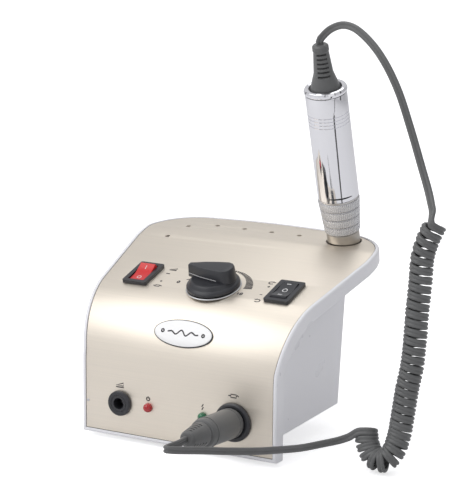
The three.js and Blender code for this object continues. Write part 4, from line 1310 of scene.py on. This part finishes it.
def add_badge():
    rim = [badge_ring(19.2 - d, 8.2 - d, h) for d, h in ((0, 0.02), (0, 0.5), (0.15, 0.72), (0.5, 0.8),
                                                         (0.8, 0.7))]
    finish_piece(stacked("badge_rim", rim, BLACK), "console", "badge_enamel", "badge")
    dome = [badge_ring(18.55 * f, 7.55 * f, h) for f, h in (
        (1.0, 0.3), (1.0, 0.86), (0.985, 0.96), (0.93, 1.02), (0.75, 1.08), (0.5, 1.12), (0.25,
                                                                                          1.14), (0.02,
                                                                                                  1.15))]
    finish_piece(stacked("badge_face", dome, ENAMEL), "console", "badge_enamel")
    wave = [1.5 * math.sin(k * 0.45) * math.sin(k / 40 * math.pi) for k in range(41)]
    marks = [[(BADGE[0] - 10 + 0.5 * k, BADGE[1] + rise) for k, rise in enumerate(wave)]]
    marks += [circle(BADGE[0] + side * 13.2, BADGE[1], 0.8, 0.8) for side in (-1, 1)]
    badge_mark = strokes("badge_mark", marks, 0.8, 1.2, offset_point, INK)
    finish_piece(badge_mark, "console", "badge_enamel")


# ---------------------------------------------------------------- switches and knob

def rocker_outline():
    """Side view of a rocker in its own frame: dished top, round ends, narrow foot."""
    out = [(ROCKER_REACH * math.cos(a * RAD), ROCKER_REACH * math.sin(a * RAD)) for a in range(-12, 31, 6)]
    top = [(6.0, 4.0), (4.0, 3.62), (2.0, 3.3), (0, 3.15)]
    out += top + [(-x, y) for x, y in top[-2::-1]]
    out += [(-ROCKER_REACH * math.cos(a * RAD), ROCKER_REACH * math.sin(a * RAD)) for a in range(30, -13, -6)]
    return out + [(-4, -4.6), (4, -4.6)]


def add_switch(name, spot, rest, body, material, slot, marks):
    base = on_plate(spot)
    flange = slab(f"{name}_bezel", rounded_outline(7.9, 11.8, 0.9), 0.05, 2.0, base, BLACK, 0.35,
                  rounded_outline(5.3, 9.15, 0.25, 2), limit=60)
    finish_piece(flange, "console", "black_plastic", f"{name}_switch_frame")
    box = slab(f"{name}_box", rounded_outline(6.5, 9.9, 0.4, 2), -15, 0.4, base, BLACK, 0,
               rounded_outline(5.3, 9.15, 0.25, 2))
    finish_piece(box, "console", "black_plastic")
    floor = slab(f"{name}_box_floor", rounded_outline(6.4, 9.8, 0.4, 2), -15.1, -9, base, BLACK)
    finish_piece(floor, "console", "black_plastic")
    for i, y in enumerate((-6, 0, 6)):
        outline = [(-2.4, y - 0.4), (2.4, y - 0.4), (2.4, y + 0.4), (-2.4, y + 0.4)]
        blade = slab(f"{name}_terminal_{i + 1}", outline, -21, -14.5, base, PLATED, 0.1)
        finish_piece(blade, "console", "plated_steel")
    matrix = base @ Matrix.Translation((0, 0, ROCKER_PIVOT)) @ Matrix.Rotation(rest, 4, "X")
    rocker = prism(f"{name}_paddle", rocker_outline(), 5.0, matrix, material, 0.35)
    finish_piece(rocker, body, slot, f"{name}_rocker")
    lines, width = marks
    def place(x, y, h):
        return matrix @ Vector((x, y, 3.12 + 1.25 * min(1.0, abs(y) / 7.6) ** 1.35 + h))
    finish_piece(strokes(f"{name}_marks", lines, width, 0.06, place, WHITE_INK), body, slot)


def add_knob_skirt(base):
    profile = [(3.1, 1.25), (15.4, 1.25), (15.8, 1.8), (15.75, 3.0), (15.0, 3.9), (14.1, 4.3), (13.5, 5.3),
               (12.7, 6.4), (12.0, 6.7), (3.1, 6.7)]
    turned_piece("knob_skirt", profile, base, BLACK, "knob", "black_plastic", "speed_knob", round_off=0.4,
                 steps=3, segments=160, closed=True)


def add_knob_grip(base):
    """Pointer grip: one tapered outline, drawn in a little at each level and rounded over at the top."""
    side = [(15.0, 1.1), (10.5, 2.4), (6, 3.9), (0, 5.2), (-6, 6.1), (-10, 6.6), (-12.6, 5.7), (-14.3, 3.5),
            (-14.9, 0)]
    outline = side + [(x, -y) for x, y in side[-2::-1]]
    levels = [(6.2, 1.0), (8.4, 0.985), (11.5, 0.965), (13.6, 0.95), (14.1, 0.925), (14.35, 0.87),
              (14.42, 0.6), (14.45, 0.2)]
    work = bmesh.new()
    verts = [work.verts.new((x * f, y * f, z)) for z, f in levels for x, y in outline]
    for quad in ring_faces(len(outline), len(levels)):
        work.faces.new([verts[k] for k in quad])
    work.faces.new(verts[-len(outline):])
    work.faces.new(verts[:len(outline)][::-1])
    finish_piece(bevelled("knob_grip", work, base, BLACK, 0.45, 38, 34, 3), "knob", "black_plastic")


def add_knob_painted_highlight(base):
    """White line along the side of the grip that faces the front: a painted highlight low on the grip."""
    def beside(x, y, h):
        slope = -0.3 if x > 6 else -0.2
        return base @ Vector((x, 3.95 + (x - 6) * slope + h, y))
    line = [(14.2, 8.6), (6, 8.2), (0, 8.0), (-5.5, 7.9)]
    # Painted highlight: a white ink line where light catches the grip.
    finish_piece(strokes("knob_painted_highlight", [line], 0.28, 0.03, beside, WHITE_INK), "knob", "black_plastic")


def add_knob():
    base = turned(on_plate(KNOB), KNOB_REST)
    add_knob_skirt(base)
    add_knob_grip(base)
    add_knob_painted_highlight(base)
    ring = [(13.0, 0.08), (16.2, 0.08), (16.4, 0.3), (16.3, 0.75), (15.9, 0.9), (13.0, 0.9)]
    turned_piece("knob_trim_ring", ring, on_plate(KNOB), PLATED, "console", "plated_steel", "knob_ring",
                 round_off=0.15, steps=3, segments=160, closed=True)


# ---------------------------------------------------------------- front sockets and lamps

def add_foot_jack():
    place = on_plate(FOOT_JACK)
    barrel = [(3.3, -17), (4.85, -17), (4.85, 2.25), (3.5, 2.25), (3.3, 2.0)]
    turned_piece("jack_barrel", barrel, place, BLACK, "console", "black_plastic", "foot_jack", round_off=0.2,
                 steps=3, closed=True)
    nut = [(4.95, 0.1), (7.3, 0.1), (7.5, 0.4), (7.4, 1.6), (6.9, 2.2), (4.95, 2.3)]
    turned_piece("jack_ring_nut", nut, place, BLACK, "console", "black_plastic", "foot_jack_nut",
                 round_off=0.3, segments=128, closed=True)
    spring = [(2.9, -8.5), (3.3, -8.5), (3.3, -6.5), (2.9, -6.5)]
    turned_piece("jack_contact", spring, place, PLATED, "console", "plated_steel", round_off=0.1, steps=3,
                 segments=64, closed=True)


def add_output_socket():
    place = on_plate(OUTPUT)
    collar = [(7.4, -9), (8.8, -9), (8.8, 0.1), (11.2, 0.1), (11.45, 0.7), (11.2, 1.9), (10.4, 2.6),
              (9.3, 2.75), (8.6, 2.2), (7.4, 1.9)]
    turned_piece("socket_collar", collar, place, BLACK, "console", "black_plastic", "output_socket",
                 round_off=0.4, segments=160, closed=True)
    insert = [(3.6, -15), (8.7, -15), (8.7, -9), (3.6, -9)]
    turned_piece("socket_insert", insert, place, MATTE, "console", "black_plastic", round_off=0.2, steps=3,
                 closed=True)


def add_lamp(name, spot, material, slot):
    r = LAMP_RADIUS
    dome = [(0.01, -6.5), (2.9, -6.5), (2.9, -4.4), (r, -4.3), (r, 0.6)]
    dome += [(r * math.cos(a * RAD), 0.6 + r * math.sin(a * RAD)) for a in range(10, 90, 10)]
    dome.append((0.01, 0.6 + r))
    turned_piece(f"lamp_{name}", dome, on_plate(spot), material, "console", slot, f"led_{name}", segments=64)


# ---------------------------------------------------------------- housing and base


def on_rear_wall(x, z):
    y = HOUSING_REAR[0] + (z - HOUSING_BOTTOM_Z) * math.tan(REAR_LEAN) + Y_SHIFT
    out = Matrix.Identity(4)
    out.col[0][:3] = (-MM, 0, 0)
    out.col[1][:3] = (0, math.sin(REAR_LEAN) * MM, math.cos(REAR_LEAN) * MM)
    out.col[2][:3] = (0, math.cos(REAR_LEAN) * MM, -math.sin(REAR_LEAN) * MM)
    out.col[3][:3] = (x * MM, y * MM, z * MM)
    return out


def tapered_rings(inset, z0, z1, front, radius=7.0, steps=10):
    """Plan outlines of the housing at a few heights, with round rear corners."""
    rings = []
    for z in (z0, z1):
        part = (z - HOUSING_BOTTOM_Z) / (HOUSING_TOP_Z - HOUSING_BOTTOM_Z)
        half = HOUSING_HALF[0] + (HOUSING_HALF[1] - HOUSING_HALF[0]) * part - inset
        rear = HOUSING_REAR[0] + (HOUSING_REAR[1] - HOUSING_REAR[0]) * part - inset
        round_off = max(1.0, radius - inset)
        ring = [(half, front)]
        for sign in (1, -1):
            for k in range(steps + 1):
                a = (k if sign > 0 else steps - k) / steps * math.pi / 2
                across = half - round_off + round_off * math.cos(a)
                ring.append((sign * across, rear - round_off + round_off * math.sin(a)))
        ring.append((-half, front))
        rings.append([Vector((x, y + Y_SHIFT, z)) * MM for x, y in ring])
    return rings


def block(x0, x1, y0, y1, z0, z1, matrix):
    corners = [(x, y, z) for x in (x0, x1) for y in (y0, y1) for z in (z0, z1)]
    faces = [(0, 1, 3, 2), (4, 6, 7, 5), (0, 4, 5, 1), (2, 3, 7, 6), (0, 2, 6, 4), (1, 5, 7, 3)]
    return new_object("cutter", [matrix @ Vector(c) for c in corners], faces, WHITE)


def add_housing():
    shell = stacked("housing_shell", tapered_rings(0, HOUSING_BOTTOM_Z, 120, 2), WHITE)
    cavity = stacked("cutter", tapered_rings(WALL, HOUSING_BOTTOM_Z - 2, 125, -6), WHITE)
    verts, faces = sheet_rings([plate_outline(30, 60), plate_outline(30, -9.3)])
    above = new_object("cutter", verts, faces, WHITE)
    cut_holes(shell, [cavity, above])
    cutters = [slab("cutter", rounded_outline(13.9, 10.4, 0.8, 3), -9, 6, on_rear_wall(*INLET), WHITE),
               rod_cutter(None, 6.4, -9, 6, 48, on_rear_wall(*FUSE))]
    for i in range(7):
        cutters.append(slab("cutter", rounded_outline(1.1, 9, 1.05, 5), -9, 6,
                            on_rear_wall(-18 + 6 * i, 68), WHITE))
    cut_holes(shell, [merge_objects(cutters)])
    smooth(shell.data, 12)
    finish_piece(shell, "console", "white_plastic", "rear_housing")


def add_feet():
    profile = [(0.01, 0), (4.7, 0), (5.3, 0.5), (5.5, 1.2), (5.5, 2.4), (5.2, 2.7), (0.01, 2.7)]
    for i, (x, y) in enumerate(FEET):
        matrix = Matrix.Translation((x * MM, (y + Y_SHIFT) * MM, 0)) @ Matrix.Diagonal((MM, MM, MM, 1))
        turned_piece(f"foot_pad_{i + 1}", profile, matrix, FOOT, "console", "foot_rubber",
                     f"rubber_foot_{i + 1}", round_off=0.4, steps=3, segments=64)


def add_inlet():
    place = on_rear_wall(*INLET)
    flange = slab("inlet_flange", rounded_outline(16, 12.4, 2.4), 0.15, 2.2, place, MATTE, 0.4,
                  rounded_outline(11, 7.4, 1.6, 4), limit=60)
    finish_piece(flange, "console", "black_matte_plastic", "mains_inlet")
    tub = slab("inlet_tub", rounded_outline(13.5, 10, 0.8, 3), -12.5, 0.3, place, MATTE, 0,
               rounded_outline(11, 7.4, 1.6, 4))
    finish_piece(tub, "console", "black_matte_plastic")
    back = slab("inlet_back", rounded_outline(13.4, 9.9, 0.8, 3), -17, -12.4, place, MATTE)
    finish_piece(back, "console", "black_matte_plastic")
    for i, (x, y) in enumerate(((-5.5, 2.5), (0, -2.6), (5.5, 2.5))):
        outline = [(x + a, y + b) for a, b in rounded_outline(1.0, 2.0, 0.3, 3)]
        finish_piece(slab(f"inlet_pin_{i + 1}", outline, -13, -3.4, place, PLATED, 0.3), "console",
                     "plated_steel")


def add_fuse():
    place = on_rear_wall(*FUSE)
    holder = [(4.4, -18), (6.0, -18), (6.0, 0.2), (8.2, 0.2), (8.2, 1.5), (7.7, 2.0), (4.4, 2.0)]
    turned_piece("fuse_body", holder, place, MATTE, "console", "black_matte_plastic", "fuse_holder",
                 round_off=0.3, steps=3, closed=True)
    cap = [(0.01, -9), (4.1, -9), (4.1, 2.3), (6.2, 2.3), (6.4, 2.7), (6.4, 4.6), (5.8, 5.2), (0.01, 5.2)]
    obj = lathe("fuse_knob", fillet(cap, 0.35, 3), place, MATTE, 96, 30)
    cut_holes(obj, [block(-5, 5, -0.6, 0.6, 4.2, 7, place)])
    smooth(obj.data, 30)
    finish_piece(obj, "console", "black_matte_plastic", "fuse_cap")


# ---------------------------------------------------------------- printed marks

def add_scale():
    """Tapered tick scale round the right of the knob, widest at full speed, and its end numbers."""
    verts = []
    faces = []
    for k in range(SCALE_TICKS):
        part = k / (SCALE_TICKS - 1)
        middle = (SCALE_START + (SCALE_END - SCALE_START) * part) * RAD
        half = 1.55 * RAD
        outer = SCALE_OUTER - SCALE_GROWTH * 0.35 * (1 - part)
        inner = outer - 1.2 - SCALE_GROWTH * part
        base = len(verts)
        low, high = middle - half, middle + half
        for h in (0.05, 0.0):
            for a, r in ((low, inner), (high, inner), (high, outer), (low, outer)):
                verts.append(offset_point(KNOB[0] + r * math.cos(a), KNOB[1] + r * math.sin(a), h))
        faces.append((base, base + 3, base + 2, base + 1))
        faces.append((base + 4, base + 5, base + 6, base + 7))
        faces += [tuple(base + v for v in quad) for quad in ring_faces(4, 2)]
    finish_piece(new_object("speed_scale", verts, faces, INK, 20), "console", "faceplate_metal")
    ends = digit(0, -21.0, 102.6) + digit(1, 20.6, 98.8) + digit(0, 22.6, 98.8)
    ends.append([(-17.6, 106.2), (-15.4, 107.6)])
    finish_piece(strokes("scale_numbers", ends, 0.75, 0.05, offset_point, INK), "console", "faceplate_metal")


def digit(value, x, s, width=1.3, height=2.2):
    if value == 1:
        return [[(x, s - height / 2), (x, s + height / 2), (x - 0.5, s + height / 2 - 0.5)]]
    return [circle(x, s, width / 2, height / 2)]


def pedal_mark(x, s, size):
    """Foot pedal seen from the side: a wedge on a base line."""
    return [[(x - size, s - 0.45 * size), (x + size, s - 0.45 * size)],
            [(x - size, s - 0.1 * size), (x + 0.9 * size, s + 0.6 * size), (x + 0.9 * size, s - 0.1 * size),
             (x - size, s - 0.1 * size)]]


def hand_mark(x, s, size):
    """Handpiece seen from the side: barrel, tip and a tail of cord."""
    return [[(x - 0.5 * size, s - 0.28 * size), (x + 0.6 * size, s - 0.28 * size),
             (x + 0.6 * size, s + 0.28 * size),
             (x - 0.5 * size, s + 0.28 * size), (x - 0.5 * size, s - 0.28 * size)],
            [(x - 0.5 * size, s), (x - size, s)],
            [(x + 0.6 * size, s), (x + 0.85 * size, s + 0.2 * size), (x + 1.1 * size, s)]]


def power_mark(x, s, size):
    return [circle(x, s, 0.7 * size, 0.7 * size, 125, 415, 20), [(x, s + 0.1 * size), (x, s + size)]]


def bolt_mark(x, s, size):
    return [[(x + 0.3 * size, s + size), (x - 0.35 * size, s), (x + 0.35 * size, s),
             (x - 0.3 * size, s - size)]]


def turn_mark(x, s, size, way):
    arc = circle(x, s, size, size * 0.75, 40, 320, 18)
    if way < 0:
        arc = [(2 * x - a, b) for a, b in arc]
    tip = arc[0]
    return [arc, [(tip[0] - 0.7 * way, tip[1] + 0.9), tip, (tip[0] + 0.9 * way, tip[1] + 0.5)]]


def add_marks():
    lines = pedal_mark(-38.4, 28.4, 2.6) + power_mark(-19.4, 23.0, 1.5) + bolt_mark(16.6, 23.6, 1.7)
    lines += hand_mark(36.4, 32.9, 3.2)
    lines += pedal_mark(-31.6, 115.6, 2.3) + hand_mark(-31.4, 95.4, 2.6)
    lines += turn_mark(34.0, 115.2, 1.7, 1) + turn_mark(35.4, 94.2, 1.7, -1)
    lines += [[(33.7, 110.6), (35.3, 110.6)], [(34.5, 109.8), (34.5, 111.4)], [(33.6, 101.0), (35.2, 101.0)]]
    finish_piece(strokes("panel_marks", lines, 0.65, 0.05, offset_point, INK), "console", "faceplate_metal")
    bars = [[(-33.6, 110.2), (-31.2, 110.2)]]
    finish_piece(strokes("panel_bar", bars, 0.9, 0.05, offset_point, INK), "console", "faceplate_metal")
    dots = [circle(-31.8, 100.9, 0.35, 0.35, 0, 360, 12)]
    finish_piece(strokes("panel_dot", dots, 0.7, 0.05, offset_point, INK), "console", "faceplate_metal")


def add_pilot_screw():
    """Small countersunk screw at the plate's left edge."""
    profile = [(0.01, -0.02), (0.85, -0.02), (0.85, 0.12), (0.6, 0.22), (0.01, 0.24)]
    obj = lathe("edge_screw", fillet(profile, 0.06, 2), on_plate((-60.2, 16.5)), PLATED, 32, 30)
    finish_piece(obj, "console", "plated_steel")


# ---------------------------------------------------------------- assembly

POWER_MARKS = ([[(0, 3.2), (0, 5.8)], circle(0, -4.4, 1.2, 1.3)], 0.34)
DIRECTION_MARKS = ([[(-1.3, 6.4), (1.3, 6.4)], circle(0, 0.6, 1.35, 1.6), [(-1.3, -5.2), (1.3, -5.2)],
                    [(-1.3, -6.2), (1.3, -6.2)]], 0.4)

dress_cad_nodes()
add_camera()
add_plug()
add_cord()
add_studio()
add_nose()
add_grip()
add_barrel()
add_spanner_slot_painted_shade()
add_cord_sleeve()
add_bezel()
add_faceplate()
add_well()
add_badge()
add_switch("power", POWER_SWITCH, ROCKER_THROW, "power_rocker", RED, "red_plastic", POWER_MARKS)
add_switch("direction", DIRECTION_SWITCH, 0, "direction_rocker", BLACK, "black_plastic", DIRECTION_MARKS)
add_knob()
add_foot_jack()
add_output_socket()
add_lamp("on", LED_ON, RED_LENS, "red_lens")
add_lamp("power", LED_POWER, GREEN_LENS, "green_lens")
add_housing()
add_feet()
add_inlet()
add_fuse()
add_scale()
add_marks()
add_pilot_screw()

with open("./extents.json", "w") as out:
    json.dump({"cad": [list(map(float, v)) for v in cad_bounds],
               "visual": [list(map(float, v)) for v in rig.bounds()]}, out)
